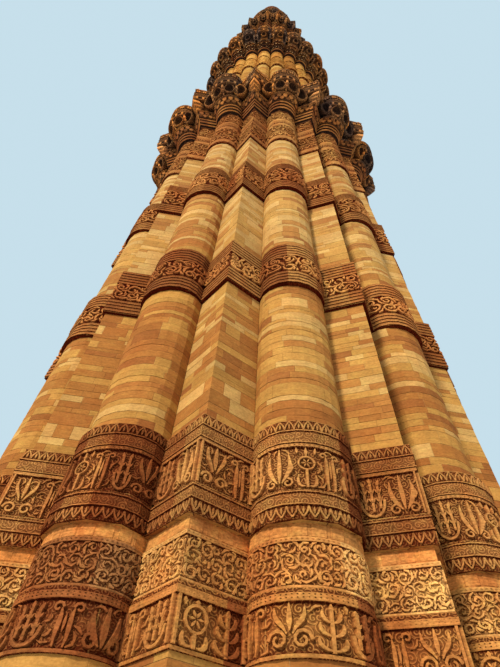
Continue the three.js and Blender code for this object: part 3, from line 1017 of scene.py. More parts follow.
# Each piece: its storey, its seed, and the heights of its foot and top, with its doorway's head between them
MASONRY_PIECES = {
    "entrance_wall_blocks": (1, 11, (0.6, 3.0, 4.21)),
    "shaft_1_lower_blocks": (1, 12, (7.64, 11.91)),
    "shaft_1_middle_blocks": (1, 13, (13.76, 17.62)),
    "shaft_1_upper_blocks": (1, 14, (19.7, 22.7)),
    "shaft_2_lower_blocks": (2, 21, (28.93, 30.83, 33.2)),
    "shaft_2_upper_blocks": (2, 22, (34.7, 38.4)),
    "shaft_3_blocks": (3, 31, (44.39, 46.29, 53.0)),
    "shaft_4_blocks": (4, 41, (56.82, 58.67, 63.4)),
    "shaft_5_blocks": (5, 51, (64.54, 66.34, 71.0)),
}
PALETTE = np.array([CREAM, STRAW, TAN, OCHRE, TERRACOTTA, RED_BROWN])
PALE_MIX = np.array([0.46, 0.41, 0.08, 0.04, 0.01, 0.0])
WARM_MIX = np.array([0.04, 0.25, 0.34, 0.24, 0.11, 0.02])
# How far the stones lean to the pale colours: heights, and the share at each
PALE_BY_HEIGHT = (
    (0, 7.6, 9.5, 11.8, 13.8, 15, 17, 20, 22.5, 28.9, 28.93, 33.2, 34.7, 38.4, 44.39, 53, 56.82, 63.4, 64.54),
    (0.1, 0.12, 0.28, 0.42, 0.5, 1.05, 1.05, 0.78, 0.82, 0.82, 0.75, 0.75, 0.7, 0.7, 0.5, 0.5, 0.7, 0.7, 0.6),
)
# Round flutes whose stones are less pale than their neighbours', up to band 4, up to band 5 and above it
WARMER_FLUTES = (
    {3: 0.4, 7: 0.3, 11: 0.4, 15: 0.2, 19: 0.35, 23: 0.2},
    {3: 0.0, 7: 0.3, 11: 0.4, 15: 0.3, 19: 0.35, 23: 0.85},
    {3: 0.2, 7: 0.3, 11: 0.2, 15: 0.2, 19: 0.35, 23: 0.0},
)
WARMER_ABOVE = (13.0, 18.0)
# How much less red, green and blue golden courses have than the palette, and how golden each height is
LESS_WHEN_GOLDEN = np.array([0.02, 0.06, 0.2])
GOLDEN_BY_HEIGHT = ((12.0, 20.0, 28.8, 29.0, 44.2, 44.3), (0.85, 0.0, 0.0, 1.6, 1.6, 0.3))
# Sizes of the courses and blocks, how far blocks stand out, and their joints
COURSE_HEIGHTS = (0.13, 0.17, 0.2, 0.23, 0.27, 0.33)
BLOCK_LENGTHS = (0.28, 0.85)
PROUD = (0.008, 0.010, 0.012, 0.015)
JOINT_DEPTH = 0.0012
JOINT_BEVEL = 0.008


def patch_field(angle, height, phase):
    """A slow wave over the wall, from 0 to 1, that groups the stones' colours in patches."""
    wave = math.sin(1.7 * angle + 0.55 * height + phase)
    wave += math.sin(3.1 * angle - 0.83 * height + 2.1 * phase)
    wave += math.sin(0.9 * height - 1.3 * phase)
    return 0.5 + wave / 6


class Coursework:
    """Courses of blocks over a storey's wall, one strip for each row of a flute."""

    def __init__(self, storey, seed):
        self.storey = storey
        self.style = STOREYS[storey]["style"]
        self.random = np.random.default_rng(seed)
        self.parts = []
        self.count = 0

    def lay(self, low, high):
        """Courses from low to high, in real metres."""
        steps = []
        while sum(steps) < high - low:
            steps.append(self.random.choice(COURSE_HEIGHTS))
        joints = low + np.cumsum([0.0, *steps]) * (high - low) / sum(steps)
        for base, top in zip(joints[:-1], joints[1:]):
            for flute in range(FLUTES):
                self.lay_in_flute(flute, base, top)

    def lay_in_flute(self, flute, base, top):
        """One course of a flute; here and there a tall one is laid as two rows."""
        rows = [base, top]
        if top - base > 0.24 and self.random.random() < 0.35:
            rows.insert(1, base + (top - base) * self.random.uniform(0.35, 0.65))
        spans = self.beside_door(flute, base)
        for row_low, row_high in zip(rows[:-1], rows[1:]):
            for start, end in spans:
                self.lay_row(flute, row_low, row_high, start, end)

    def beside_door(self, flute, height):
        """The ranges of shares across a flute where the doorway at the back leaves wall."""
        half, head = DOORS[self.storey]
        shares = np.linspace(0, 1, 201)
        points, _ = plan_frame(self.style, flute, shares, float(storey_radius(self.storey, height)))
        opening = shares[(np.abs(points[:, 0]) < half) & (points[:, 1] > 0) & (height < head - 0.05)]
        if not opening.size:
            return [(0.0, 1.0)]
        sides = ((0.0, float(opening[0])), (float(opening[-1]), 1.0))
        return [(start, end) for start, end in sides if start < 0.98 and end > 0.02]

    def cuts(self, width, start, end):
        """Shares at which the blocks of a row end, clear of an arris."""
        cuts = [start]
        while cuts[-1] < end:
            cuts.append(cuts[-1] + self.random.uniform(*BLOCK_LENGTHS) / width)
        cuts = [cut for cut in cuts if start + 0.08 < cut < end - 0.08]
        return np.array([start, *(cut for cut in cuts if abs(cut - 0.5) > 0.07 or self.style == "drum"), end])

    def lay_row(self, flute, low, high, start, end):
        """A row of blocks; each corner of a face keeps its distances from the edges of its block."""
        width = flute_width(self.style, flute, float(storey_radius(self.storey, (low + high) / 2)))
        cuts = self.cuts(width, start, end)
        grid = across(self.style, flute)
        shares = np.unique(np.round([*cuts, *grid[(grid > start) & (grid < end)]], 5))
        block = np.clip(np.searchsorted(cuts, shares[:-1] + 1e-4, side="right") - 1, 0, len(cuts) - 2)
        proud = self.random.choice(PROUD)
        heights = np.array([low, low + JOINT_BEVEL, high])
        radii = storey_radius(self.storey, heights) + (JOINT_DEPTH, proud, proud)
        flat, _ = plan_frame(self.style, flute, shares[None, :], radii[:, None])
        index = np.arange(3 * len(shares)).reshape(3, -1)
        run = grid_quads(np.broadcast_to(shares * width, index.shape))
        climb = grid_quads(np.broadcast_to((heights - low)[:, None], index.shape))
        left, right = (cuts * width)[[block, block + 1]][..., None]
        near = np.stack([run - left, climb], axis=-1) * METRE
        far = np.stack([right - run, (high - low) - climb], axis=-1) * METRE
        stones = self.stones(len(cuts) - 1, flute, (low + high) / 2)[block]
        colours = np.broadcast_to(stones[:, None], (*run.shape, 3))
        self.parts.append((raised(flat, heights), grid_quads(index) + self.count, near, far, colours))
        self.count += index.size

    def stones(self, number, flute, height):
        """A colour for each block of a row."""
        field = patch_field(flute * PITCH, height, 0.7)
        warmer = WARMER_FLUTES[int(np.searchsorted(WARMER_ABOVE, height))].get(flute, 0)
        pale = np.clip(float(np.interp(height, *PALE_BY_HEIGHT)) + 0.9 * (field - 0.5) - warmer, 0, 1)
        weights = PALE_MIX * pale + WARM_MIX * (1 - pale)
        picks = self.random.choice(len(PALETTE), size=number, p=weights / weights.sum())
        tone = self.random.uniform(0.92, 1.05) * self.random.uniform(0.93, 1.06, size=(number, 1))
        average = weights @ PALETTE / weights.sum()
        golden = 1 - LESS_WHEN_GOLDEN * float(np.interp(height, *GOLDEN_BY_HEIGHT))
        return (average + (PALETTE[picks] - average) * 0.7) * tone * golden

    def build(self, name):
        points, quads, near, far, colours = joined(self.parts)
        mesh = mesh_from_quads(name, points, quads, MASONRY)
        set_attribute(mesh, "from_left_and_foot", "FLOAT2", "CORNER", near)
        set_attribute(mesh, "from_right_and_head", "FLOAT2", "CORNER", far)
        set_attribute(mesh, "stone", "FLOAT_COLOR", "CORNER", with_alpha(colours))
        finish_piece(name, mesh)


def lay_masonry():
    """The plain courses of every storey, with a joint at each doorway's head."""
    for name, (storey, seed, heights) in MASONRY_PIECES.items():
        work = Coursework(storey, seed)
        for low, high in zip(heights[:-1], heights[1:]):
            work.lay(low, high)
        work.build(name)


# Carved bands

WALLS = {storey: storey_wall(storey) for storey in STOREYS}
LOW_BAND_STONES = [(0.49, 0.24, 0.076), (0.43, 0.188, 0.06), (0.37, 0.145, 0.047), (0.28, 0.094, 0.032)]
VINE_BAND_STONES = [(0.67, 0.4, 0.15), (0.61, 0.335, 0.119), (0.55, 0.268, 0.089), (0.45, 0.182, 0.06)]
UPRIGHT_STONES = [(0.63, 0.31, 0.1), (0.58, 0.275, 0.09), (0.52, 0.228, 0.075)]
MAIN_BAND_STONES = [(0.49, 0.25, 0.088), (0.43, 0.194, 0.067), (0.36, 0.145, 0.05), (0.275, 0.094, 0.032)]
HIGH_BAND_STONES = [(0.48, 0.25, 0.086), (0.42, 0.197, 0.068), (0.365, 0.154, 0.052), (0.31, 0.12, 0.042)]
GOLDEN_STONES = [(0.6, 0.35, 0.1), (0.52, 0.28, 0.075), (0.45, 0.218, 0.056)]
LEAF_COURSE_STONES = [(0.44, 0.195, 0.062), (0.36, 0.155, 0.052), (0.28, 0.112, 0.042)]
PALE_GOLD_STONES_WITH_PAINTED_LIGHT = [(0.95, 0.74, 0.43), (0.9, 0.64, 0.34), (0.8, 0.52, 0.27)]
DARK_STONES = [(0.62, 0.3, 0.115), (0.47, 0.245, 0.11), (0.26, 0.165, 0.12), (0.82, 0.35, 0.1)]
ARRIS_MARGIN = 0.0001


class Band:
    """A carved band: mouldings that follow the plan, and fields of relief between them."""

    def __init__(self, name, wall, middle, seed, stones, weights, lift, length=0.75, curl=0.13):
        self.name = name
        self.wall = wall
        self.lift = lift
        self.curl = curl
        self.blocks = Blocks(wall, middle, seed, stones, weights, length)
        self.work = Stonework()

    def mould(self, profile, steps=12):
        """Adds mouldings, lifted with the band; a line that stands out by nought lies on the wall."""
        lifted = [(height, out + self.lift if out else out, level) for height, out, level in profile]
        sweep(self.work, self.wall, self.blocks, lifted, steps, self.curl)

    def fill(self, low, high, ground, margin, maker, *sizes, seeds=(), bright=1.0, depth=0.8):
        """Lays sheets on every face of a height range, in as many designs as there are seeds."""
        variants = [(*sizes, seed) for seed in seeds] or [sizes]
        sheets = {}
        for flute in range(FLUTES):
            for number, span in enumerate(self.wall.faces(flute, margin, ARRIS_MARGIN)):
                variant = (flute * 5 + number * 3) % len(variants)
                key = (flute_form(self.wall.style, flute)[0], variant)
                if key not in sheets:
                    radius = float(self.wall.radius((low + high) / 2))
                    width = flute_width(self.wall.style, flute, radius, *span)
                    sheets[key] = maker(width, high - low, *variants[variant])
                place = (flute, span, low, high, ground + self.lift)
                sheets[key].bend(self.work, self.wall, *place, self.blocks, bright, depth)

    def beads(self, rows, pitch, size, bright=1.0):
        lifted = [(height, out + self.lift) for height, out in rows]
        bead_row(self.name + "_beads", self.wall, self.blocks, lifted, pitch, size, bright)

    def finish(self, slot="carved_red_sandstone", paint=CARVED):
        return self.work.build(self.name + "_carving", paint, slot)


def upright_course():
    """Tall slabs of one tone under the main band."""
    band = Band("upright_course", WALLS[1], 5.75, 15, UPRIGHT_STONES, (3, 2, 1), 0.012, 0.3)
    band.mould([
        (5.64, -0.05, 0.5), (5.645, 0.001, 1.0), (5.75, 0.003, 1.0), (5.86, 0.001, 0.95), (5.87, -0.05, 0.4),
    ])
    band.fill(5.65, 5.86, 0.003, 0.0, dentils, 0.28, 0.255, 0.006, depth=0.45)
    band.finish("buff_sandstone")


def band_1():
    """The lowest band: bold ornaments over vines, under a strip with two rows of dots."""
    band = Band("band_1", WALLS[1], 4.6, 101, LOW_BAND_STONES, (4, 4, 3, 2), 0.034, 0.8)
    band.mould([
        (4.19, -0.02, 0.3), (4.195, 0.02, 0.93), (4.235, 0.025, 1.0), (4.24, 0.001, 0.1), (4.28, 0.001, 0.82),
        (4.5, 0.001, 0.86), (4.76, 0.001, 0.82), (4.8, 0.001, 0.02), (4.805, 0.045, 0.93), (4.82, 0.05, 1.0),
        (4.9, 0.05, 1.0), (4.905, 0.035, 0.5), (4.965, 0.035, 0.97), (4.97, 0.001, 0.2),
    ])
    band.fill(4.245, 4.795, 0.0, 0.012, arabesque, 0.066, 0.045, 0.085, seeds=(1, 2, 3, 4), depth=0.75)
    band.finish()
    band.beads([(4.84, 0.05), (4.88, 0.05)], 0.07, (0.03, 0.016), 0.35)


def band_2():
    """The second band: a close tangle of vine between a rope and a bead course."""
    band = Band("band_2", WALLS[1], 5.3, 102, VINE_BAND_STONES, (5, 4, 3, 1), 0.024, 0.7)
    band.mould([
        (4.97, 0.001, 0.2), (4.972, 0.03, 0.93), (4.998, 0.03, 0.97), (5.0, 0.001, 0.05), (5.02, 0.001, 0.8),
        (5.29, 0.001, 0.86), (5.55, 0.001, 0.8), (5.575, 0.001, 0.05), (5.578, 0.03, 0.93),
        (5.59, 0.035, 0.97), (5.64, 0.03, 0.97), (5.645, -0.02, 0.4),
    ])
    band.fill(5.005, 5.572, 0.0, 0.012, tangle, 0.066, 0.04, 0.03, seeds=(11, 12, 13, 14), depth=0.55)
    band.finish()
    band.beads([(5.61, 0.035)], 0.07, (0.042, 0.022))


def band_3():
    """The main band: borders of leaves and scrolls round a field of bold ornaments."""
    band = Band("band_3", WALLS[1], 6.7, 103, MAIN_BAND_STONES, (4, 4, 3, 1), 0.114, 0.7)
    band.mould([
        (5.86, -0.1, 0.0), (5.862, 0.01, 0.3), (5.875, 0.02, 0.95), (5.88, 0.001, 0.3), (6.068, 0.001, 0.4),
        (6.07, -0.01, 0.0), (6.084, 0.03, 0.3), (6.088, 0.035, 0.97), (6.104, 0.035, 0.97),
        (6.106, 0.022, 0.4), (6.12, 0.022, 0.84), (6.255, 0.022, 0.86), (6.266, 0.022, 0.3),
        (6.27, 0.01, 0.0), (6.28, 0.04, 0.5),
        (6.286, 0.04, 0.97), (6.3, 0.04, 0.95), (6.305, 0.01, 0.5), (6.345, 0.01, 0.93), (6.35, -0.02, 0.1),
        (6.36, -0.028, 0.1), (6.4, -0.028, 0.76), (6.73, -0.028, 0.82), (7.06, -0.028, 0.76),
        (7.1, -0.028, 0.1), (7.105, 0.01, 0.4), (7.115, 0.02, 0.95), (7.165, 0.02, 0.93), (7.168, 0.0, 0.0),
        (7.178, 0.04, 0.5), (7.182, 0.04, 0.97), (7.198, 0.04, 0.97), (7.202, 0.025, 0.3),
        (7.215, 0.025, 0.84), (7.385, 0.025, 0.86), (7.397, 0.025, 0.3), (7.4, 0.01, 0.0), (7.41, 0.045, 0.5),
        (7.414, 0.045, 0.97), (7.43, 0.045, 0.97), (7.434, 0.01, 0.3), (7.63, 0.01, 0.45),
        (7.635, 0.02, 0.95), (7.645, 0.02, 0.93), (7.65, -0.12, 0.4),
    ], 10)
    seeds = (21, 22, 23, 24, 25)
    band.fill(6.365, 7.1, -0.028, 0.012, arabesque, 0.052, 0.045, 0.08, seeds=seeds, bright=1.05)
    band.fill(5.882, 6.068, 0.0, 0.005, leaf_row, 0.145, 0.03, 0.022, *HANGING, bright=0.9)
    band.fill(7.435, 7.628, 0.01, 0.005, leaf_row, 0.145, 0.03, 0.022, bright=0.9)
    band.finish()
    band.beads([(6.325, 0.01), (7.14, 0.02)], 0.075, (0.048, 0.024))


def courses(low, high, number, out):
    """Flat courses over one another, each with a line of painted shadow under it."""
    step = (high - low) / number
    lines = []
    for course in range(number):
        foot = low + course * step
        lines += [
            (foot, out - 0.015, 0.05), (foot + 0.01, out - 0.01, 0.05), (foot + 0.02, out + 0.01, 0.15),
            (foot + 0.03, out + 0.02, 0.93), (foot + step - 0.01, out + 0.015, 0.86),
        ]
    return lines


def high_band(name, low, field_low, field_high, high, seed, spacing, weights):
    """A band high on the shaft: a field of curled leaves between borders of flat courses."""
    band = Band(name, WALLS[1], (low + high) / 2, seed, HIGH_BAND_STONES, weights, 0.084, 0.9, 0.12)
    band.mould([
        (low - 0.02, -0.1, 0.0), (low, 0.02, 0.1), *courses(low + 0.02, field_low, 4, 0.01),
        (field_low, 0.001, 0.0), ((field_low + field_high) / 2, 0.001, 0.42), (field_high, 0.001, 0.0),
        *courses(field_high + 0.01, high, 5, 0.02), (high + 0.01, -0.1, 0.4),
    ], 10)
    field = (field_low + 0.01, field_high - 0.01, 0.0, 0.012)
    seeds = (seed + 1, seed + 2, seed + 3)
    band.fill(*field, tangle, spacing, spacing * 0.56, 0.05, seeds=seeds, bright=1.3, depth=0.85)
    band.finish()


def band_6():
    """The highest band of the storey: two fields of small relief between plain stringcourses."""
    band = Band("band_6", WALLS[1], 24.5, 160, HIGH_BAND_STONES, (2, 5, 4, 1), 0.064, 0.9, 0.3)
    band.mould([
        (22.7, -0.1, 0.0), (22.72, 0.02, 0.3), (22.8, 0.03, 0.93), (23.1, 0.03, 0.93), (23.14, 0.001, 0.5),
        (23.55, 0.001, 0.7), (23.6, 0.04, 0.95), (23.66, 0.04, 0.93), (23.68, 0.001, 0.3),
        (24.1, 0.001, 0.75), (24.54, 0.001, 0.4), (24.56, 0.03, 0.93), (24.8, 0.03, 0.93),
        (24.84, 0.01, 0.6), (25.2, 0.01, 0.93), (25.24, 0.04, 0.95), (25.46, 0.04, 0.93),
        (25.48, 0.001, 0.3), (26.0, 0.001, 0.75), (26.56, 0.001, 0.4), (26.6, 0.02, 0.4),
    ], 8)
    for low, high, seed in ((23.69, 24.53, 61), (25.49, 26.55, 71)):
        seeds = (seed, seed + 1, seed + 2)
        band.fill(low, high, 0.0, 0.012, tangle, 0.145, 0.075, 0.04, seeds=seeds, bright=0.96, depth=0.7)
    band.fill(23.15, 23.54, 0.0, 0.01, leaf_row, 0.36, 0.05, 0.03, bright=1.15)
    band.finish()


def second_storey_bands():
    """Golden courses that follow the round flutes of the second storey, with low relief between them."""
    band = Band("storey_2_low_band", WALLS[2], 34, 201, GOLDEN_STONES, (3, 3, 2), 0.064, 0.7, 0.35)
    band.mould([
        (33.2, -0.05, 0.1), (33.21, 0.03, 0.95), (33.36, 0.03, 0.95), (33.38, 0.001, 0.6), (34.5, 0.001, 0.8),
        (34.52, 0.001, 0.4), (34.54, 0.03, 0.95), (34.69, 0.03, 0.95), (34.7, -0.05, 0.3),
    ], 8)
    band.fill(33.4, 34.5, 0.0, 0.02, tangle, 0.2, 0.1, 0.04, seeds=(201, 206), bright=1.1, depth=0.4)
    band.finish("buff_sandstone")
    band = Band("storey_2_high_band", WALLS[2], 40, 202, GOLDEN_STONES, (5, 3, 1), 0.044, 0.6, 0.4)
    band.mould([
        (38.4, -0.05, 0.1), (38.42, 0.08, 0.5), (38.44, 0.09, 0.93), (38.55, 0.09, 0.95), (38.57, 0.001, 0.4),
        (38.6, 0.001, 0.95), (40.8, 0.001, 0.95), (40.82, 0.0, 0.25), (40.84, 0.05, 0.93), (40.98, 0.06, 1.0),
        (41.0, 0.001, 0.3), (41.02, 0.001, 0.95), (42.12, 0.001, 0.95), (42.14, 0.04, 0.93),
        (42.28, 0.05, 0.95), (42.3, -0.05, 0.3),
    ], 8)
    band.fill(38.75, 40.7, 0.0, 0.02, tangle, 0.24, 0.1, 0.03, seeds=(203, 204), depth=0.25)
    band.finish("buff_sandstone")


def third_storey_band():
    """A band of relief under the third balcony."""
    band = Band("storey_3_band", WALLS[3], 54, 301, HIGH_BAND_STONES, (2, 4, 4, 3), 0.044, 0.6, 0.35)
    band.mould([
        (53.0, -0.05, 0.1), (53.01, 0.03, 0.93), (53.2, 0.03, 0.93), (53.22, 0.001, 0.2),
        (54.98, 0.001, 0.2), (55.0, 0.03, 0.93), (55.19, 0.03, 0.93), (55.2, -0.05, 0.2),
    ])
    band.fill(53.23, 54.97, 0.0, 0.03, tangle, 0.26, 0.12, 0.045, seeds=(301, 302), bright=1.1)
    band.finish("carved_red_sandstone", DARK_CARVED)


# Balconies: ribs, a course of tongues, cups and drops on a set-back wall, dentils and a parapet

RIB_HEIGHT = 0.23
RIB_STEP = 0.08
# A rib's lines over its foot: height, standing-out and level of painted shade, dark under the rib
RIB_LINES = (
    (0.0, -0.1, 0.0), (0.06, -0.025, 0.0), (0.1, 0.045, 0.03), (0.106, 0.052, 0.95), (0.16, 0.08, 1.0),
    (0.2, 0.05, 0.6), (0.21, -0.09, 0.0),
)
CORBEL_OUTLINE = (
    (0.0, 0.08), (0.28, 0.32), (0.281, 0.42), (0.5, 0.74), (0.72, 0.9), (0.721, 0.95), (1.0, 1.0),
)
PARAPET_THICKNESS = 0.24
# For each storey's balcony: its heights and radii, its ribs, the steps that draw a round flute, and its cups
# and drops, whose places are shares across a round flute
BALCONIES = {
    1: dict(foot=26.6, ribs=3, rib_radius=5.06, edge=5.97, floor=28.93, parapet=0.62, steps=12,
            on_round=(0.36, 0.64), cup=0.25, groove_cup=0.29, drops=(0.2, 0.5, 0.8)),
    2: dict(foot=42.3, ribs=3, rib_radius=3.74, edge=4.65, floor=44.39, parapet=0.62, steps=8,
            on_round=(0.5,), cup=0.18, groove_cup=0.13, drops=(0.2, 0.8)),
    3: dict(foot=55.2, ribs=1, rib_radius=2.86, edge=3.42, floor=56.82, parapet=0.6, steps=4,
            on_round=(), cup=0.0, groove_cup=0.16, drops=()),
    4: dict(foot=63.4, ribs=1, rib_radius=1.97, edge=2.26, floor=64.54, parapet=0.6, steps=4,
            on_round=(0.5,), cup=0.14, groove_cup=0.0, drops=(0.0,)),
}
# Rings of a cup from its foot in the wall over its rim to its bottom: radius and reach as shares of the cup's
# own radius, and the levels of painted shade at its head and at its lower lip: dark at the head, lighter at
# the lip
CUP_RINGS = np.array([
    (1.0, -1.3, 0.1, 0.1), (1.16, -0.6, 0.2, 0.4), (1.2, -0.25, 0.35, 0.55), (1.1, -0.02, 0.55, 0.7),
    (0.96, 0.0, 0.5, 0.5), (0.88, -0.12, 0.02, 0.4), (0.74, -0.6, 0.0, 0.24), (0.25, -1.0, 0.0, 0.08),
])
CUP_SIDES = 12
CUP_LEAN = math.radians(24)
CUP_SIZES = (0.9, 1.08)
CUP_TONES = (0.85, 1.3)
# A drop's rows from its foot: half width, standing-out and level; and its lines from one edge to the other.
# Both levels are painted shade: dark in the drop's creases and at its edges
DROP_ROWS = np.array([
    (0.2, 0.1, 0.4), (0.5, 0.6, 1), (0.62, 0.45, 0.5), (0.85, 0.85, 1), (0.9, 0.65, 0.55), (1, 1, 1),
    (0.95, 0.95, 1), (0.75, 0.8, 0.95), (0.3, 0.3, 0.6),
])
DROP_LINES = np.array([(-1, 0, 0.1), (-0.75, 0.85, 0.9), (0, 1.1, 1), (0.75, 0.85, 0.9), (1, 0, 0.1)])
KNOB_OUTLINE = ((0.11, -0.02), (0.12, 0.25), (0.07, 0.4), (0.1, 0.6), (0.01, 1.0))
KNOB_HEIGHT = 0.28
KNOB_SIDES = 6
WELL_SIDES = 32


def cup(band, plan, facing, height, radius, colour):
    """A scooped bowl of stone that opens outwards and a little downwards."""
    facing = np.array([*facing, 0.0])
    along = np.array([-facing[1], facing[0], 0.0])
    opening = facing * math.cos(CUP_LEAN) - np.array([0, 0, math.sin(CUP_LEAN)])
    up = facing * math.sin(CUP_LEAN) + np.array([0, 0, math.cos(CUP_LEAN)])
    turn = np.linspace(0, 2 * math.pi, CUP_SIDES + 1)[:-1]
    sizes, reaches, lit_at_head, lit_at_lip = (column[:, None] for column in CUP_RINGS.T)
    # Painted shade inside the cup: darkest at its head, lighter towards its lower lip
    levels = lit_at_lip + (lit_at_head - lit_at_lip) * (0.5 + 0.5 * np.sin(turn))
    # The head is pointed
    head = np.maximum(np.sin(turn), 0)
    aside = sizes * np.cos(turn) * (1 - 0.25 * head)
    rise = sizes * np.sin(turn) * (1 + 0.3 * head ** 3)
    around = aside[..., None] * along + rise[..., None] * up + reaches[..., None] * opening
    points = (np.array([*plan, height]) + around * radius) * METRE
    band.work.grid(points, shade(colour, levels, BLUISH_HOLLOW_SHADE), levels, closed=True, flip=True)


def cup_course(band, height, form):
    """Cups on the round flutes, and larger ones that bridge the grooves."""
    radius = float(band.wall.radius(height))
    random = np.random.default_rng(FLUTES)
    for flute in range(FLUTES):
        kind, half, groove = flute_form(band.wall.style, flute)
        for share in form["on_round"] if kind != "wedge" else ():
            plan, facing = plan_frame(band.wall.style, flute, share, radius + 0.02)
            size = form["cup"] * random.uniform(*CUP_SIZES)
            rise = height + random.uniform(-0.03, 0.03)
            colour = band.blocks.colour(flute, share) * random.uniform(*CUP_TONES)
            cup(band, plan, facing, rise, size, colour)
        if form["groove_cup"]:
            angle = flute * PITCH - half
            facing = np.array([math.sin(angle), -math.cos(angle)])
            size = form["groove_cup"] * random.uniform(*CUP_SIZES)
            colour = band.blocks.colour(flute, 0.01) * random.uniform(*CUP_TONES)
            cup(band, facing * radius * (groove + (1 - groove) * 0.6), facing, height - 0.03, size, colour)


def drop(band, flute, middle, low, high, reach, width, bright):
    """A carved drop: narrow at its foot, widest near its head and rounded over the top."""
    heights = np.linspace(low, high, len(DROP_ROWS))
    plan, facing = plan_frame(band.wall.style, flute, middle, band.wall.radius(heights))
    fall = 0.0
    if flute_form(band.wall.style, flute)[0] == "wedge":
        # On an arris it faces straight out, and its edges fall back to both faces
        fall = WEDGE_RISE
        facing = np.broadcast_to([math.sin(flute * PITCH), -math.cos(flute * PITCH)], plan.shape)
    along = np.stack([-facing[:, 1], facing[:, 0]], axis=1)
    asides, swells, levels = (row[:, None] * line for row, line in zip(DROP_ROWS.T, DROP_LINES.T))
    asides = asides * width / 2
    out = swells * reach - fall * np.abs(asides) - 0.02
    flat = plan[:, None] + along[:, None] * asides[..., None] + facing[:, None] * out[..., None]
    colour = band.blocks.colour(flute, middle) * bright
    band.work.grid(raised(flat, heights), shade(colour, levels, BLUISH_HOLLOW_SHADE), levels)


def knob(band, flute, foot):
    """A small pointed knob on the parapet, over an arris."""
    radius = float(band.wall.radius(foot)) - PARAPET_THICKNESS * 0.4
    middle, _ = plan_frame(band.wall.style, flute, 0.5, radius)
    outline = [(size, foot + up * KNOB_HEIGHT) for size, up in KNOB_OUTLINE]
    points = rings(middle, outline, KNOB_SIDES)
    levels = np.full(points.shape[:2], 0.9)
    band.work.grid(points, shade(band.blocks.colour(flute, 0.5), levels), levels, closed=True)


def balcony_ribs(number, wall, rib_top, low, high):
    """The ribs under a balcony and, from low to high, the course of tongues over them."""
    form = BALCONIES[number]
    # Painted light: the lower balcony's ribs and tongues are fully lit; on the others the upper ribs' crests
    # and the tongues get painted shade, as dark as their corbels
    sunlit = 1.0 if number == 1 else 0.45
    name = f"balcony_{number}_ribs"
    band = Band(name, wall, rib_top, 400 + number, LEAF_COURSE_STONES, (3, 3, 2), 0.03, 0.6)
    # The ribs' painted shade is bluish
    band.blocks.hollow_shade = BLUISH_HOLLOW_SHADE
    profile = []
    for rib in range(form["ribs"]):
        foot = form["foot"] + rib * RIB_HEIGHT
        for rise, out, level in RIB_LINES:
            bright = sunlit if rib and level > 0.5 else 1.0
            profile.append((foot + rise, out, level * bright))
    band.mould([*profile, (rib_top, 0.0, 0.1)], form["steps"])
    band.mould([
        (low, 0.001, 0.1), (low + 0.02, 0.02, 0.7), (low + 0.04, 0.001, 0.1), (high - 0.05, 0.001, 0.1),
        (high - 0.03, 0.04, 0.7), (high - 0.002, 0.03, 0.5),
    ], form["steps"])
    band.fill(low + 0.03, high - 0.04, 0.0, 0.01, tongue_row, 0.26, 0.06, bright=1.15 * sunlit, depth=0.9)
    if number == 2:
        # Partly painted light: the beads are paler than their stone so that they look lit on the shaded
        # underside
        golden = Blocks(wall, rib_top, 430, PALE_GOLD_STONES_WITH_PAINTED_LIGHT, (2, 2, 1))
        rows = [(form["foot"] + RIB_HEIGHT + 0.1, 0.12), (low + 0.02, 0.1), ((low + high) / 2 + 0.06, 0.12)]
        bead_row("balcony_2_ribs_beads", wall, golden, rows, 0.19, (0.12, 0.14))
    band.finish("dark_carved_sandstone", DARK_CARVED)


def well_face(band, storey, heights):
    """The inner face of the corbels, round the well."""
    form = STOREYS[storey]
    outline = [(tapered(form, *form["well"], height), height) for height in heights]
    points = rings((0, 0), outline, WELL_SIDES, -math.pi / 2)
    # An even painted shade over the whole inner face
    levels = np.full(points.shape[:2], 0.7)
    band.work.grid(points, shade(np.array(TAN), levels), levels, closed=True, flip=True)


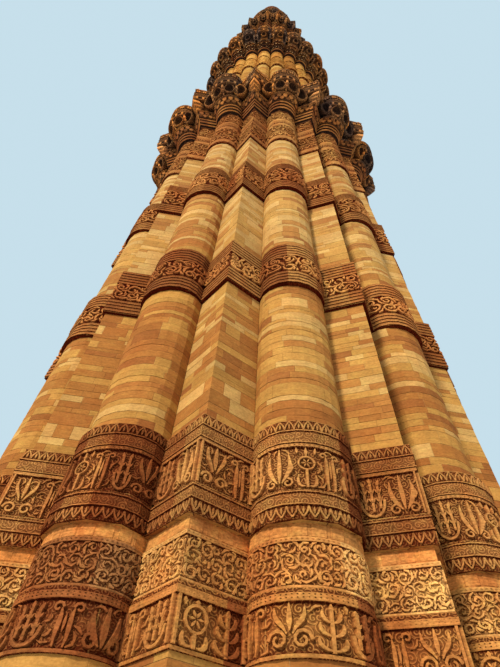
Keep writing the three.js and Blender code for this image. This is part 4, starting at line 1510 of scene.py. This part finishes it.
def balcony(number):
    """A balcony from its lowest rib to its coping."""
    form = BALCONIES[number]
    steps = form["steps"]
    rib_top = form["foot"] + form["ribs"] * RIB_HEIGHT
    start = form["rib_radius"] + (form["ribs"] - 1) * RIB_STEP
    under_floor = STOREYS[number]["high"]
    floor = form["floor"]
    top = floor + form["parapet"]

    def corbel_height(rise):
        return rib_top + (under_floor - rib_top) * rise

    spread = form["edge"] - start
    corbels = [(corbel_height(rise), start + spread * reach) for rise, reach in CORBEL_OUTLINE]
    outline = ((form["foot"], form["rib_radius"]), (rib_top - 0.001, start), *corbels, (top, form["edge"]))
    wall = Wall(STOREYS[number]["style"], *zip(*outline))
    balcony_ribs(number, wall, rib_top, corbel_height(0.0), corbel_height(0.28))

    low, high = corbel_height(0.281), corbel_height(0.72)
    band = Band(f"balcony_{number}", wall, under_floor, 410 + number, DARK_STONES, (4, 3, 2, 3), 0.02, 0.5)
    # The balcony's painted shade is bluish
    band.blocks.hollow_shade = BLUISH_HOLLOW_SHADE
    inset = 0.4 * (high - low)
    # Painted shade: low levels darken the set-back wall and the undersides of the ledges
    band.mould([
        (low - 0.02, 0.03, 0.5), (low, 0.04, 0.8), (low + 0.03, 0.02, 0.4), (low + 0.035, -inset, 0.2),
        ((low + high) / 2, -inset, 0.35), (high - 0.005, -inset, 0.1), (high, 0.0, 0.1),
        (high + 0.01, 0.05, 0.5), (high + 0.05, 0.06, 0.7), (high + 0.06, 0.001, 0.02),
        (under_floor - 0.06, 0.001, 0.02), (under_floor - 0.05, 0.04, 0.3), (under_floor, 0.05, 0.6),
        (under_floor + 0.05, 0.02, 0.2), (floor - 0.06, 0.02, 0.3), (floor - 0.04, 0.05, 0.6),
        (floor + 0.03, 0.05, 0.6), (floor + 0.04, 0.01, 0.03), (top - 0.14, 0.01, 0.03),
        (top - 0.13, 0.05, 0.5), (top - 0.02, 0.06, 0.8), (top + 0.02, 0.04, 0.8),
        (top + 0.021, -PARAPET_THICKNESS - 0.03, 0.7), (top - 0.1, -PARAPET_THICKNESS - 0.032, 0.3),
    ], steps)
    cup_course(band, (low + high) / 2 + 0.04, form)
    for flute in range(FLUTES):
        if flute_form(wall.style, flute)[0] == "wedge":
            drop(band, flute, 0.5, low - 0.05, high - 0.02, 0.16, 0.62 if number == 1 else 0.3, 1.2)
            drop(band, flute, 0.5, high + 0.06, under_floor - 0.06, 0.1, 0.3, 1.3)
            knob(band, flute, top)
            continue
        for middle in form["drops"]:
            drop(band, flute, middle, low, high + 0.04, 0.1, 0.16, 1.0)
    well_face(band, number, (rib_top, under_floor))
    band.fill(high + 0.06, under_floor - 0.06, 0.0, 0.01, dentils, 0.32, 0.13, 0.05, bright=0.75)
    band.fill(floor + 0.05, top - 0.15, 0.01, 0.02, rosette_row, 0.34, 0.06, 0.05, bright=0.9)
    piece = band.finish("dark_carved_sandstone", DARK_CARVED)
    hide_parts(f"balcony_{number}_corbels")


lay_masonry()
upright_course()
band_1()
band_2()
band_3()
high_band("band_4", 11.91, 12.434, 13.133, 13.76, 140, 0.1, (3, 4, 4, 2))
high_band("band_5", 17.64, 18.19, 19.22, 19.74, 150, 0.125, (2, 4, 4, 3))
band_6()
second_storey_bands()
third_storey_band()
for number in BALCONIES:
    balcony(number)
